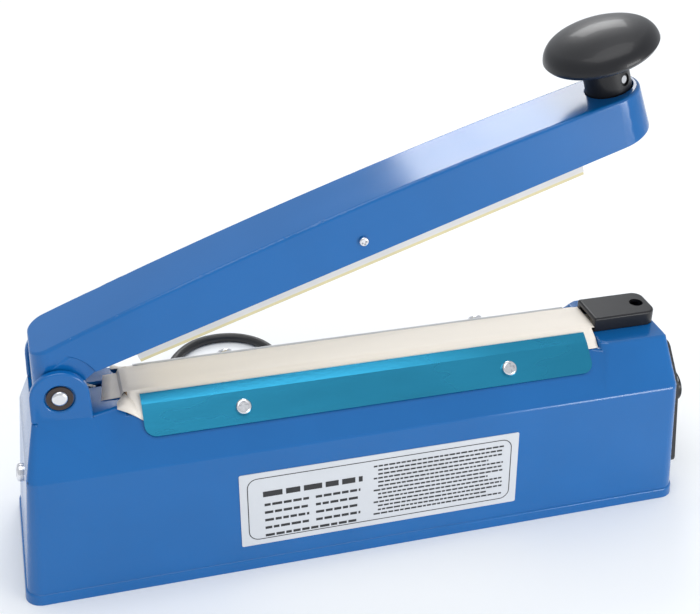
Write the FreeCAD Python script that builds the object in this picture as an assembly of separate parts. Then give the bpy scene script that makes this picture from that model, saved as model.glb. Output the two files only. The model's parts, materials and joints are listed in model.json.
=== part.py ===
import FreeCAD, Part
import math
import os

# Hand impulse heat sealer with a 200 mm jaw, in millimetres.
# X runs along the base from the hinge end to the knob end, the label side faces -Y,
# +Z is up, and the origin is the centre of the base's underside on the table.
# The arm's own pieces are drawn level, about the hinge pin, and are then swung open.

V = FreeCAD.Vector
UP = V(0, 0, 1)
ALONG = V(1, 0, 0)
ACROSS = V(0, 1, 0)
FAR = 500.0                   # further than any piece reaches
AIR = 0.1                     # between fixed pieces that stand side by side

# ---------------------------------------------------------------- base housing
base_length = 300.0
base_width = 76.0
crease_height = 60.0
crease_inset = 3.0            # how far the front and rear walls lean in up to the crease
left_crease_inset = 6.6
left_top_inset = 11.6
right_top_inset = 6.0
block_top_height = 79.0
block_top_width = 40.0
foot_corner_radius = 7.0
crease_corner_radius = 4.5
top_corner_radius = 2.5
least_corner = 1.0             # inside the wall
wall = 2.5
skirt_height = 5.0
skirt_step = 0.6

# ---------------------------------------------------------------- jaw
jaw_centre = 6.0              # the jaw stands a little towards the knob end
strip_length = 200.0
jaw_slope_run = 24.0          # run and rise of the slopes beside the jaw
jaw_slope_rise = 22.0
seat_height = 76.0            # flat seat under the jaw bar
seat_length = 211.5
seat_end_gap = 0.5
seat_lead = 6.0               # from the seat's hinge end to the strips
bar_shoulder_height = 77.9
bar_top_height = 81.6
bar_top_width = 18.6
bar_stem_width = 14.0
bar_stem_depth = 10.0
bar_stem_gap = 0.2
bar_stem_inset = 9.0          # how much shorter the stem is than the bar at each end
left_tip_gap = 14.5           # from the strip's ends to the facets' lower tips
right_tip_gap = 3.0
left_ridge_gap = 6.0          # from the strip's ends to the facets' upper inner corners
right_ridge_gap = 0.5
left_facet_reach = 16.5       # along the end blocks' tops
right_facet_reach = 9.5
tension_spring_radius = 1.6
tension_spring_wire = 0.5
tension_spring_turns = 6
tension_spring_length = 9.0
tape_width = 12.0
tape_thickness = 0.3
element_width = 2.5
element_thickness = 0.25
element_slot_gap = 0.5
tail_height = 75.2            # where the element's tails go in to the terminals
terminal_gap = 0.2
terminal_width = 6.0
terminal_height = 4.0
sprung_terminal_length = 7.0
fixed_terminal_length = 4.5
cloth_thickness = 0.3
cloth_air = 0.05              # the cloth lies this far over the element
cloth_overhang = 5.0
cloth_hem = 2.0               # the cloth stops this far above the strips' lower edges
cloth_corner_reach = 10.0     # its hinge-end corners are cut from the shoulder to this far below it
cloth_flap_length = 9.0       # turned down over the bar's hinge end, on to the block
cloth_flap_rest = 5.5         # the flap's level part
cloth_flap_gap = 0.1
cloth_flap_fold = 1.0         # from the bar to where the flap turns down
strip_thickness = 0.8
strip_width = 19.0
strip_band = 5.0              # bent upper band of each clamp strip
strip_corner = 5.0
strip_clear = 0.05            # air between a strip and the cloth
clamp_screw_spacing = 119.0
clamp_screw_shift = 1.2       # the screws' middle from the jaw's middle

# ---------------------------------------------------------------- hinge
pin_x = -126.2
pin_height = 89.5
pin_radius = 3.5
pin_clearance = 0.05
pin_end_stand = 0.7
pin_dome_share = 0.45         # the round of the pin's ends, as a share of its radius
lug_radius = 12.0
lug_half_base = 12.4
lug_thickness = 3.6
lug_recess_radius = 6.0
lug_recess_depth = 1.4
ring_radius = 5.4
ring_thickness = 0.9
ring_gap = 0.1
open_angle = 18.4
hinge_spring_wire = 1.4
hinge_spring_radius = 6.2
hinge_spring_turns = 6
close_coil_pitch = 1.08       # a close coil's pitch, as a share of its wire
hinge_spring_leg = 14.5
upper_leg_angle = 48.0
lower_leg_angle = -43.4
leg_slot_start = 1.5
leg_slot_end = 17.5
leg_slot_clearance = 0.8

# ---------------------------------------------------------------- arm
arm_back = 9.5                # the arm's lower edge behind the pin
arm_back_lean = 8.0           # how far its back wall leans in up to the top
arm_back_corner = 8.0
arm_front_lean = 0.8
arm_length = 279.5
arm_width = 34.6
arm_top_width = 29.4
arm_edge_height = 3.4         # the arm's lower edge above the pin when closed
arm_top_back = 19.0
arm_top_middle = 25.6
arm_top_front = 22.9
arm_wall = 2.0
arm_edge_radius = 1.6
arm_notch_radius = 17.5
ear_radius = 9.0
ear_thickness = 2.4
ear_gap = 0.5                 # air between each ear and its lug
holder_start = 34.0
holder_length = 202.0
holder_width = 16.0
holder_wall = 1.6
holder_height = 15.5
silicone_width = 14.0
silicone_thickness = 2.2
silicone_round = 0.6
silicone_gap = 0.1            # left between the silicone and the cloth when closed
holder_bolt_x = 137.0
holder_bolt_height = 11.0
holder_bolt_radius = 1.2
holder_bolt_head = 2.0
holder_spacer_radius = 3.0
holder_nut_thickness = 2.4

# ---------------------------------------------------------------- press knob
knob_x = 257.0
knob_radius = 24.0
knob_dome_height = 10.4       # from the rim's widest line up to the crown
knob_foot_depth = 5.2         # from the rim's widest line down to the underside
knob_edge_share = 0.82        # where the cap's round edge starts, as a share of its radius
knob_rim_height = 41.6
knob_travel = 6.5
neck_radius = 9.6
neck_bore = 6.0
neck_clearance = 0.25
neck_top = 42.0
neck_bottom = 15.5
flange_radius = 10.1
flange_thickness = 2.0
guide_gap = 0.1
guide_rib_gap = 0.4
trigger_x = 263.5
trigger_radius = 2.0
trigger_tip = -3.0            # lowest point below the pin's line, knob up
cross_pin_radius = 1.6
cross_pin_height = 28.5
cross_pin_angle = -62.0
cross_pin_recess = 1.0        # how much wider the recess at each end is
cross_pin_recess_depth = 0.9
cross_pin_short = 0.7         # how far its ends stay inside the neck's side
spring_seat_thickness = 1.6
spring_seat_height = 4.0
return_spring_radius = 6.6
return_spring_wire = 1.0
return_spring_turns = 3
return_spring_inset = 3.2     # its coil is this much smaller than the neck's step
return_spring_shift = -2.0

# ---------------------------------------------------------------- switch end
guide_cover_length = 31.0
guide_cover_width = 19.0
guide_cover_height = 7.0
guide_cover_wall = 1.8
guide_cover_end_gap = 0.6     # from the cover's end to the end of the block
guide_cover_radius = 5.0
guide_cover_round = 1.0
guide_hole_radius = 3.2
arch_width = 13.0
arch_height = 4.6
switch_length = 19.0
switch_width = 6.4
switch_height = 10.0
switch_end_gap = 4.0          # from the button's middle to the body's end
switch_top_gap = 1.2
switch_hole_radius = 1.1
button_radius = 1.8
button_stand = 0.5            # the button's top above the block
button_hole_clearance = 0.6
button_travel = 1.2
button_round = 0.5
switch_hole_places = (4.5, 14.0)
switch_hole_height = 2.5
switch_terminal_places = (1.5, 8.0, 14.5)
switch_bracket_sheet = 1.0

# ---------------------------------------------------------------- control panel
panel_thickness = 2.2
panel_margin = 5.0
panel_bottom = 14.0
panel_top = 74.0
panel_corner = 4.0
dial_height = 35.0
dial_radius = 9.0
dial_thickness = 15.0
dial_gap = 0.6
dial_taper = 1.4
dial_round = 1.0
dial_flute_radius = 0.9
dial_flutes = 16
dial_roof = 2.5               # what the shaft's socket leaves over it
dial_pointer_half = 0.8
dial_pointer_inset = 3.0
dial_pointer_stand = 0.4
pot_shaft_radius = 2.0
pot_shaft_clearance = 0.05
pot_bush_radius = 3.5
pot_bush_stand = 4.0
pot_body_radius = 8.5
pot_body_depth = 9.0
pot_nut_radius = 5.4
pot_nut_thickness = 2.0
lamp_radius = 3.0
lamp_height = 61.0
lamp_across = 17.0
lamp_body_depth = 9.0
lamp_stand = 1.2
lamp_round = 1.1
panel_screw_inset = 7.0
panel_upper_screws = 4.0      # this far under the crease
panel_hole_clearance = 0.2

# ---------------------------------------------------------------- inside the base
plate_thickness = 1.6
plate_gap = 0.3
plate_boss_radius = 4.0
plate_boss_height = 11.0
plate_dish = 2.4              # depth of the dishes that sink the screw heads
plate_dish_margin = 1.0
plate_dish_wall = 2.0
core_length = 57.0
core_height = 48.0
core_stack = 26.0
core_limb = 9.5
core_x = -30.0
core_lift = 1.0
bobbin_wall = 1.2
winding_depth = 7.0
bracket_sheet = 1.2
bracket_foot = 10.0
bracket_hole_reach = 6.6
board_length = 62.0
board_width = 44.0
board_thickness = 1.6
board_x = 70.0
board_height = 12.0

# ---------------------------------------------------------------- fixings
small_screw_radius = 1.5
small_head_radius = 3.4
small_head_height = 2.2
screw_length = 9.0
boss_wall = 2.2
screw_clearance = 0.2
end_screw_height = 42.0        # the single screw in the hinge end's wall
end_screw_radius = 2.0
end_screw_head = 4.0
end_screw_length = 8.0

# ---------------------------------------------------------------- label
label_left = -58.0
label_length = 126.0
label_bottom = 12.5
label_height = 37.0
label_thickness = 0.3
label_corner = 0.8

# ---------------------------------------------------------------- mains lead
cord_diameter = 5.0
relief_x = -75.0
relief_height = 16.0
relief_length = 26.0
relief_root_radius = 5.5
relief_tip_radius = 3.4
relief_flange_radius = 7.5
relief_flange = 2.0
relief_gap = 0.5
coil_centre = V(48, 80, 0)
coil_columns = 2
coil_layers = 3
coil_middle_radius = 27.5
plug_length = 30.0
plug_tail = 13.0
plug_width = 26.0
plug_thickness = 13.7
plug_round = 4.5
plug_pin_radius = 2.0
plug_pin_length = 19.0
plug_pin_spacing = 18.6
plug_pin_round = 1.0
plug_start = V(93, 55.2, 6.85)

# From the strain relief's tip along the table to the coil, then from the coil to the plug.
cord_route = [
    V(-75, 62, 16), V(-74, 82, 14.5), V(-70, 108, 4.2), V(-64, 135.6, 2.5),
    V(-47.6, 152, 2.5), V(-24.4, 152, 2.5), V(-8, 135.6, 2.5), V(-8, 112, 2.5),
    V(-6, 90, 2.5), V(1, 70, 2.5), V(16, 55, 2.5), V(36, 50.3, 2.5)]
tail_route = [V(58, 50.5, 12.5), V(72, 51.5, 9.5), V(84, 54, 7.2), V(95, 55.4, 6.85)]

# ---------------------------------------------------------------- derived places
half_length = base_length / 2
half_width = base_width / 2
crease_half = half_width - crease_inset
block_half = block_top_width / 2
strip_left = jaw_centre - strip_length / 2
strip_right = jaw_centre + strip_length / 2
slope_length = math.hypot(jaw_slope_run, jaw_slope_rise)
slope_along = V(0, jaw_slope_run / slope_length, jaw_slope_rise / slope_length)
slope_out = V(0, -jaw_slope_rise / slope_length, jaw_slope_run / slope_length)
slope_foot = V(0, -crease_half, crease_height)
seat_left = strip_left - seat_lead
seat_right = seat_left + seat_length
cloth_top = bar_top_height + tape_thickness + element_thickness + cloth_air + cloth_thickness
silicone_bottom = cloth_top + silicone_gap - pin_height
right_lean = math.atan2(right_top_inset, block_top_height)
lug_face = block_half
lug_inner = lug_face - lug_thickness
ear_outer = lug_inner - ear_gap
trigger_world_x = pin_x + trigger_x
bar_shoulder_half = crease_half - (bar_shoulder_height - crease_height) * jaw_slope_run / jaw_slope_rise


# ================================================================ helpers
def box(x0, x1, y0, y1, z0, z1):
    return Part.makeBox(x1 - x0, y1 - y0, z1 - z0, V(x0, y0, z0))


def rod(radius, start, direction, length):
    return Part.makeCylinder(radius, length, start, direction)


def tube(outer, inner, start, direction, length):
    return rod(outer, start, direction, length).cut(rod(inner, start, direction, length))


def polygon_face(points):
    return Part.Face(Part.makePolygon(points + [points[0]]))


def prism(points, direction):
    return polygon_face(points).extrude(direction)


def frustum(low, high):
    """A solid between two polygons with matching corners and flat sides."""
    count = len(low)
    faces = [polygon_face(low), polygon_face(high)]
    for i in range(count):
        j = (i + 1) % count
        faces.append(polygon_face([low[i], low[j], high[j], high[i]]))
    return Part.makeSolid(Part.makeShell(faces))


def rounded_rectangle(x0, x1, y0, y1, radius, z):
    """A level rectangle with round corners, as one wire."""
    k = radius * (1 - math.sqrt(0.5))
    corners = [(x1, y0, -1, 1), (x1, y1, -1, -1), (x0, y1, 1, -1), (x0, y0, 1, 1)]
    edges = []
    ends = []
    for i, (x, y, sx, sy) in enumerate(corners):
        on_x = V(x + sx * radius, y, z)
        on_y = V(x, y + sy * radius, z)
        middle = V(x + sx * k, y + sy * k, z)
        first, last = (on_x, on_y) if i % 2 == 0 else (on_y, on_x)
        edges.append(Part.Arc(first, middle, last).toShape())
        ends.append((first, last))
    wire = []
    for i in range(4):
        wire.append(edges[i])
        wire.append(Part.LineSegment(ends[i][1], ends[(i + 1) % 4][0]).toShape())
    return Part.Wire(wire)


def rounded_slab(x0, x1, y0, y1, radius, z0, thickness):
    return Part.Face(rounded_rectangle(x0, x1, y0, y1, radius, z0)).extrude(V(0, 0, thickness))


def mirrored(shape):
    return shape.mirror(V(0, 0, 0), ACROSS)


def both_sides(shape):
    return shape.fuse(mirrored(shape))


def spring(radius, wire, turns, start, direction, length):
    """A round-wire coil spring whose coil's middle line starts at a point of its axis."""
    helix = Part.makeHelix((length - wire) / turns, length - wire, radius)
    profile = Part.Wire(Part.makeCircle(wire / 2, V(radius, 0, 0), ACROSS))
    coil = Part.Wire(helix.Edges).makePipeShell([profile], True, False)
    coil.translate(V(0, 0, wire / 2))
    turn = FreeCAD.Rotation(UP, direction)
    coil.Placement = FreeCAD.Placement(start, turn).multiply(coil.Placement)
    return coil


def pan_screw(seat, direction, length, radius=small_screw_radius, head=small_head_radius):
    """A cross-recessed pan-head screw whose head sits on a seat and whose shank goes along direction."""
    out = direction * -1
    height = small_head_height * head / small_head_radius
    dome = rod(head, seat, out, height)
    dome = dome.makeFillet(height * 0.55, [dome.Edges[0]])
    shank = rod(radius, seat, direction, length)
    screw = dome.fuse(shank)
    turn = FreeCAD.Rotation(UP, out)
    slot_width = head * 0.22
    slot_depth = height * 0.5
    arm = head * 0.62
    bottom = height - slot_depth
    cross = box(-arm, arm, -slot_width, slot_width, bottom, small_head_height + 1)
    cross = cross.fuse(box(-slot_width, slot_width, -arm, arm, bottom, small_head_height + 1))
    cross.Placement = FreeCAD.Placement(seat, turn)
    return screw.cut(cross)


def rounded_path(points):
    """Straight runs joined by arcs that each take 0.45 of the shorter run beside them."""
    edges = []
    radii = []
    here = points[0]
    for before, corner, after in zip(points, points[1:], points[2:]):
        a = corner - before
        b = after - corner
        turn = a.getAngle(b)
        reach = 0.45 * min(a.Length, b.Length)
        radius = reach / math.tan(turn / 2)
        radii.append(radius)
        first = corner - a.normalize() * reach
        last = corner + b.normalize() * reach
        middle_line = (b - a).normalize()
        centre = corner + middle_line * (radius / math.cos(turn / 2))
        middle = centre - middle_line * radius
        edges.append(Part.LineSegment(here, first).toShape())
        edges.append(Part.Arc(first, middle, last).toShape())
        here = last
    edges.append(Part.LineSegment(here, points[-1]).toShape())
    return Part.Wire(edges), radii


def cord_tube(points, name):
    path, radii = rounded_path(points)
    heading = points[1] - points[0]
    profile = Part.Wire(Part.makeCircle(cord_diameter / 2, points[0], heading))
    solid = path.makePipeShell([profile], True, False)
    section = math.pi * cord_diameter ** 2 / 4
    print(name, "length", round(path.Length, 1), "least radius", round(min(radii), 1),
          "radii", [round(r) for r in radii],
          "volume over section times length", round(solid.Volume / (section * path.Length), 4))
    return solid


# ================================================================ frames of reference
def swing_open(shape):
    """Move a piece drawn about the level arm's pin line to the open arm."""
    turn = FreeCAD.Rotation(ACROSS, -open_angle)
    move = FreeCAD.Placement(V(pin_x, 0, pin_height), turn)
    shape.Placement = move.multiply(shape.Placement)
    return shape


def onto_right_end(shape):
    """Move a piece drawn on a level plate (x across, y up the wall, z outwards) to the right end."""
    lean = FreeCAD.Matrix(0, math.sin(-right_lean), math.cos(right_lean), half_length,
                          1, 0, 0, 0,
                          0, math.cos(right_lean), math.sin(right_lean), 0,
                          0, 0, 0, 1)
    shape.Placement = FreeCAD.Placement(lean).multiply(shape.Placement)
    return shape


def onto_front(shape):
    """Move a piece drawn level (x along, y up the wall, z outwards) to the front wall."""
    lean = math.atan2(crease_inset, crease_height)
    frame = FreeCAD.Matrix(1, 0, 0, 0,
                           0, math.sin(lean), -math.cos(lean), -half_width,
                           0, math.cos(lean), math.sin(lean), 0,
                           0, 0, 0, 1)
    shape.Placement = FreeCAD.Placement(frame).multiply(shape.Placement)
    return shape


def slope_point(distance, height, x=0.0):
    """A point a distance up the front slope from the crease and a height out of it."""
    return slope_foot + slope_along * distance + slope_out * height + V(x, 0, 0)


# ================================================================ base housing
def housing_outline(z, inset):
    """The housing's left, right and half width at a height, moved in by an inset."""
    if z <= crease_height:
        share = z / crease_height
        left = left_crease_inset * share
        half = half_width - crease_inset * share
    else:
        share = (z - crease_height) / (block_top_height - crease_height)
        left = left_crease_inset + (left_top_inset - left_crease_inset) * share
        half = crease_half + (block_half - crease_half) * share
    right = right_top_inset * z / block_top_height
    return -half_length + left + inset, half_length - right - inset, half - inset


def housing_level(z, inset, side_inset=None):
    left, right, half = housing_outline(z, inset)
    if side_inset is not None:
        half = half + inset - side_inset
    if z <= crease_height:
        corner = foot_corner_radius + (crease_corner_radius - foot_corner_radius) * z / crease_height
    else:
        share = (z - crease_height) / (block_top_height - crease_height)
        corner = crease_corner_radius + (top_corner_radius - crease_corner_radius) * share
    return rounded_rectangle(left, right, -half, half, max(corner - inset, least_corner), z)


def housing_block(inset, low, high):
    """The housing's plain form, without the jaw's cut, between two heights."""
    slope = math.hypot(crease_half - block_half, block_top_height - crease_height)
    side_inset = inset * slope / (block_top_height - crease_height)
    lower = Part.makeLoft([housing_level(low, inset), housing_level(crease_height, inset)], True, True)
    upper = Part.makeLoft([housing_level(crease_height, inset), housing_level(high, inset, side_inset)],
                          True, True)
    return lower.fuse(upper).removeSplitter()


def facet_corner(tip_x, ridge_x, top_x, z, inset):
    """Inner and outer corner of the jaw's cut at a height, on one end's facet."""
    ridge_z = block_top_height
    side = 1 if tip_x > 0 else -1
    run_per_rise = jaw_slope_run / jaw_slope_rise
    tip = V(tip_x, -crease_half, crease_height)
    ridge = V(ridge_x, -crease_half + (ridge_z - crease_height) * run_per_rise, ridge_z)
    outward = V(top_x, -block_half, ridge_z) - ridge
    normal = (ridge - tip).cross(outward).normalize()
    plain = tip + (ridge - tip) * ((z - crease_height) / (ridge_z - crease_height))
    y = plain.y + inset * slope_length / jaw_slope_rise
    x = plain.x + side * inset / abs(normal.x) + (y - plain.y) * outward.x / outward.y
    inner = V(x, y, z)
    return inner, inner + outward * 6


def jaw_cut(inset):
    """What is cut from the front and the rear between the end blocks."""
    left_ridge = strip_left - left_ridge_gap
    right_ridge = strip_right + right_ridge_gap
    left = (strip_left - left_tip_gap, left_ridge, left_ridge - left_facet_reach)
    right = (strip_right + right_tip_gap, right_ridge, right_ridge + right_facet_reach)
    levels = []
    for z in (crease_height - 15, block_top_height + 20):
        left_in, left_out = facet_corner(*left, z, inset)
        right_in, right_out = facet_corner(*right, z, inset)
        levels.append([left_in, right_in, right_out, left_out])
    return both_sides(frustum(levels[0], levels[1]))


def make_base_housing():
    shell = housing_block(0, 0, block_top_height).cut(jaw_cut(0))
    hollow = housing_block(wall, -1, block_top_height - wall).cut(jaw_cut(wall))
    deep = box(seat_left - wall, seat_right + wall, -half_width, half_width,
               seat_height - wall, block_top_height)
    hollow = hollow.cut(deep)
    skirt = Part.makeLoft([housing_level(0, -skirt_step), housing_level(skirt_height, -skirt_step)],
                          True, True)
    shell = shell.fuse(skirt).cut(hollow)
    shell = shell.cut(box(seat_left, seat_right, -half_width, half_width, seat_height, 100))
    shell = shell.cut(stem_slot()).cut(element_slot())
    shell = shell.fuse(hinge_lugs()).fuse(plate_bosses()).fuse(clamp_bosses())
    shell = shell.cut(lug_bores()).cut(plate_screw_holes()).cut(clamp_screw_holes())
    shell = shell.cut(rod(button_radius + button_hole_clearance,
                          V(trigger_world_x, 0, block_top_height - wall - 1), UP, wall + 2))
    shell = shell.cut(panel_wall_holes()).cut(spring_leg_slot())
    shell = shell.cut(rod(relief_root_radius + relief_gap / 2, V(relief_x, 0, relief_height), ACROSS,
                          half_width + 5))
    return shell.removeSplitter()


def stem_slot():
    left, right = stem_ends()
    half = bar_stem_width / 2 + bar_stem_gap
    return box(left - bar_stem_gap, right + bar_stem_gap, -half, half, seat_height - 20, 100)


def stem_ends():
    left = seat_left + seat_end_gap + bar_stem_inset
    right = seat_right - seat_end_gap - bar_stem_inset
    return left, right


def hinge_lugs():
    """Two upright lugs with round tops that hold the pin."""
    foot = block_top_height - wall
    reach = lug_half_base
    drop = pin_height - block_top_height
    tangent = math.acos(lug_radius / math.hypot(reach, drop)) - math.atan2(drop, reach)
    top_x = lug_radius * math.cos(tangent)
    top_z = lug_radius * math.sin(tangent)
    outline = [V(pin_x - reach, -lug_face, block_top_height), V(pin_x - reach, -lug_face, foot),
               V(pin_x + reach, -lug_face, foot), V(pin_x + reach, -lug_face, block_top_height),
               V(pin_x + top_x, -lug_face, pin_height + top_z),
               V(pin_x - top_x, -lug_face, pin_height + top_z)]
    body = prism(outline, V(0, lug_thickness, 0))
    body = body.fuse(rod(lug_radius, V(pin_x, -lug_face, pin_height), ACROSS, lug_thickness))
    inside = housing_block(0, 0, block_top_height)
    lower = body.common(box(-FAR, FAR, -lug_face, lug_face, 0, block_top_height)).common(inside)
    upper = body.common(box(-FAR, FAR, -lug_face, lug_face, block_top_height, FAR))
    return both_sides(upper.fuse(lower))


def lug_bores():
    through = rod(pin_radius + pin_clearance, V(pin_x, -lug_face - 1, pin_height), ACROSS,
                  2 * lug_face + 2)
    recess = rod(lug_recess_radius, V(pin_x, -lug_face - 1, pin_height), ACROSS, lug_recess_depth + 1)
    return through.fuse(both_sides(recess))


def plate_screw_places():
    x = half_length - 20
    y = half_width - 11
    return [V(sx * x, sy * y, 0) for sx in (-1, 1) for sy in (-1, 1)]


def plate_bosses():
    """Round posts for the bottom plate's screws, tied to the long walls."""
    posts = []
    for place in plate_screw_places():
        side = 1 if place.y > 0 else -1
        low = plate_dish + plate_thickness + plate_gap
        post = rod(plate_boss_radius, place + V(0, 0, low), UP, plate_boss_height)
        web = box(place.x - 1, place.x + 1, min(place.y, side * (half_width - 2)),
                  max(place.y, side * (half_width - 2)), low, low + plate_boss_height)
        posts.append(post.fuse(web))
    return posts[0].multiFuse(posts[1:])


def plate_screw_holes():
    holes = [rod(small_screw_radius, p, UP, plate_dish + screw_length + plate_gap)
             for p in plate_screw_places()]
    return holes[0].multiFuse(holes[1:])


def clamp_screw_places():
    """Screw seats along the front slope, at the middle of the strip's flat."""
    middle = jaw_centre + clamp_screw_shift
    up_slope = strip_start() + (strip_width - strip_band) / 2
    return [(middle + side * clamp_screw_spacing / 2, up_slope) for side in (-1, 1)]


def clamp_bosses():
    posts = []
    for x, distance in clamp_screw_places():
        posts.append(rod(small_screw_radius + boss_wall, slope_point(distance, -wall / 2, x),
                         slope_out * -1, screw_length))
    return both_sides(posts[0].multiFuse(posts[1:]))


def clamp_screw_holes():
    holes = [rod(small_screw_radius, slope_point(d, 1, x), slope_out * -1, screw_length + 2)
             for x, d in clamp_screw_places()]
    return both_sides(holes[0].multiFuse(holes[1:]))


def make_bottom_plate():
    left, right, half = housing_outline(0, wall + plate_gap)
    plate = rounded_slab(left, right, -half, half, foot_corner_radius - wall, 0, plate_thickness)
    dish_radius = small_head_radius + plate_dish_margin
    for place in plate_screw_places():
        cup = rod(dish_radius + plate_dish_wall, place, UP, plate_dish + plate_thickness)
        plate = plate.fuse(cup).cut(rod(dish_radius, place, UP, plate_dish))
        plate = plate.cut(rod(small_screw_radius + screw_clearance, place, UP, 10))
    for place in transformer_screw_places():
        plate = plate.cut(rod(small_screw_radius, place, UP, plate_thickness))
    return plate.cut(plate_vents())


def plate_vents():
    slots = []
    for i in range(-3, 4):
        slots.append(rounded_slab(core_x + i * 8 - 1.25, core_x + i * 8 + 1.25, 18, 30, 1.2, -1, 4))
    return slots[0].multiFuse(slots[1:])


def make_bottom_screws():
    screws = [pan_screw(p + V(0, 0, plate_dish), UP, screw_length) for p in plate_screw_places()]
    return Part.makeCompound(screws)


def make_name_label():
    label = rounded_slab(label_left, label_left + label_length, label_bottom,
                         label_bottom + label_height, label_corner, 0, label_thickness)
    return onto_front(label)


# ================================================================ jaw
def strip_start():
    """How far up the slope the clamp strip's lower edge is."""
    shoulder = (bar_shoulder_height - crease_height) * slope_length / jaw_slope_rise
    return shoulder - (strip_width - strip_band)


def bar_outline():
    """Half outline of the jaw bar's section, from its foot to its top."""
    foot = crease_half - (seat_height - crease_height) * jaw_slope_run / jaw_slope_rise
    return [(foot, seat_height), (bar_shoulder_half, bar_shoulder_height),
            (bar_top_width / 2, bar_top_height)]


def make_jaw_bar():
    left, right = seat_left + seat_end_gap, seat_right - seat_end_gap
    half = bar_outline()
    section = [V(left, -y, z) for y, z in half] + [V(left, y, z) for y, z in reversed(half)]
    body = prism(section, V(right - left, 0, 0))
    stem_left, stem_right = stem_ends()
    stem = box(stem_left, stem_right, -bar_stem_width / 2, bar_stem_width / 2,
               seat_height - bar_stem_depth, seat_height)
    return body.fuse(stem).removeSplitter()


def make_insulating_tape():
    return box(seat_left + seat_end_gap, seat_right - seat_end_gap, -tape_width / 2, tape_width / 2,
               bar_top_height, bar_top_height + tape_thickness)


def element_slot():
    """Slots through the end blocks' walls for the element's tails."""
    half = element_width / 2 + element_slot_gap
    slots = []
    for face, side in ((seat_left, -1), (seat_right, 1)):
        x0, x1 = sorted((face - side * 0.7, face + side * (wall + 1)))
        slots.append(box(x0, x1, -half, half, tail_height - element_slot_gap, seat_height + 1))
    return slots[0].fuse(slots[1])


def make_heating_element():
    """Flat ribbon along the bar, with a tail down each end and in to its terminal."""
    low = bar_top_height + tape_thickness
    half = element_width / 2
    top = low + element_thickness
    air = (seat_end_gap - element_thickness) / 2
    left, right = seat_left + air, seat_right - air
    ribbon = box(left, right, -half, half, low, top)
    for face, side in ((left, -1), (right, 1)):
        x0, x1 = sorted((face, face - side * element_thickness))
        ribbon = ribbon.fuse(box(x0, x1, -half, half, tail_height, top))
        x0, x1 = sorted((face, face + side * (wall + terminal_gap + air)))
        ribbon = ribbon.fuse(box(x0, x1, -half, half, tail_height, tail_height + element_thickness))
    return ribbon.removeSplitter()


def offset_section(points, gap, thickness):
    """A thin closed section that follows a line of (y, z) points at a gap on its left."""
    def shifted(distance):
        lines = []
        for (ya, za), (yb, zb) in zip(points, points[1:]):
            length = math.hypot(yb - ya, zb - za)
            ny, nz = -(zb - za) / length, (yb - ya) / length
            lines.append(((ya + ny * distance, za + nz * distance),
                          (yb + ny * distance, zb + nz * distance)))
        result = [lines[0][0]]
        for (a, b), (c, d) in zip(lines, lines[1:]):
            ry, rz = b[0] - a[0], b[1] - a[1]
            sy, sz = d[0] - c[0], d[1] - c[1]
            share = ((c[0] - a[0]) * sz - (c[1] - a[1]) * sy) / (ry * sz - rz * sy)
            result.append((a[0] + ry * share, a[1] + rz * share))
        result.append(lines[-1][1])
        return result
    return shifted(gap) + list(reversed(shifted(gap + thickness)))


def slope_yz(distance):
    point = slope_point(distance, 0)
    return point.y, point.z


def make_ptfe_cloth():
    """The cloth under both strips and over the bar."""
    start = slope_yz(strip_start() + cloth_hem)
    shoulder = (-bar_shoulder_half, bar_shoulder_height)
    edge = (-bar_top_width / 2, bar_top_height + cloth_air)
    rise = cloth_top - cloth_thickness - bar_top_height
    crown = (-tape_width / 2 - 0.6, bar_top_height + rise)
    left_half = [start, shoulder, edge, crown]
    right_half = [(-y, z) for y, z in reversed(left_half)]
    section = offset_section(left_half + right_half, 0, cloth_thickness)
    left, right = strip_left - cloth_overhang, strip_right + cloth_overhang
    cloth = prism([V(left, y, z) for y, z in section], V(right - left, 0, 0))
    foot_half = bar_outline()[0][0] - cloth_thickness
    below_bar = box(strip_right + strip_clear, right + 1, -half_width, -foot_half, 0, 200)
    cloth = cloth.cut(both_sides(below_bar)).cut(both_sides(cloth_corner_waste(left)))
    cloth = cloth.fuse(cloth_flap(left)).removeSplitter()
    for x, distance in clamp_screw_places():
        hole = rod(small_screw_radius + screw_clearance, slope_point(distance, -2, x), slope_out, 5)
        cloth = cloth.cut(both_sides(hole))
    return cloth


def cloth_corner_waste(left):
    """What is cut from the cloth's front corner at the hinge end, beside the strip."""
    shoulder = strip_start() + strip_width - strip_band
    inner = strip_left - strip_clear
    corners = [slope_point(shoulder - 1, -2, left - 1), slope_point(shoulder - cloth_corner_reach, -2, inner),
               slope_point(0, -2, inner), slope_point(0, -2, left - 1)]
    return prism(corners, slope_out * 6)


def cloth_flap(left):
    """The cloth's end, turned down over the bar on to the hinge end's block."""
    rest = block_top_height + cloth_flap_gap
    low = cloth_top - cloth_thickness
    fold = seat_left - cloth_flap_fold
    end = left - cloth_flap_length
    lower = [V(left + 1, 0, low), V(fold, 0, low), V(end + cloth_flap_rest, 0, rest + AIR),
             V(end, 0, rest)]
    upper = [p + V(0, 0, cloth_thickness) for p in reversed(lower)]
    upper[2] = upper[2] + V(-cloth_thickness, 0, 0)
    upper[1] = upper[1] + V(-cloth_thickness, 0, 0)
    half = bar_top_width / 2
    section = [p + V(0, -half, 0) for p in lower + upper]
    return prism(section, V(0, 2 * half, 0))


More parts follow.
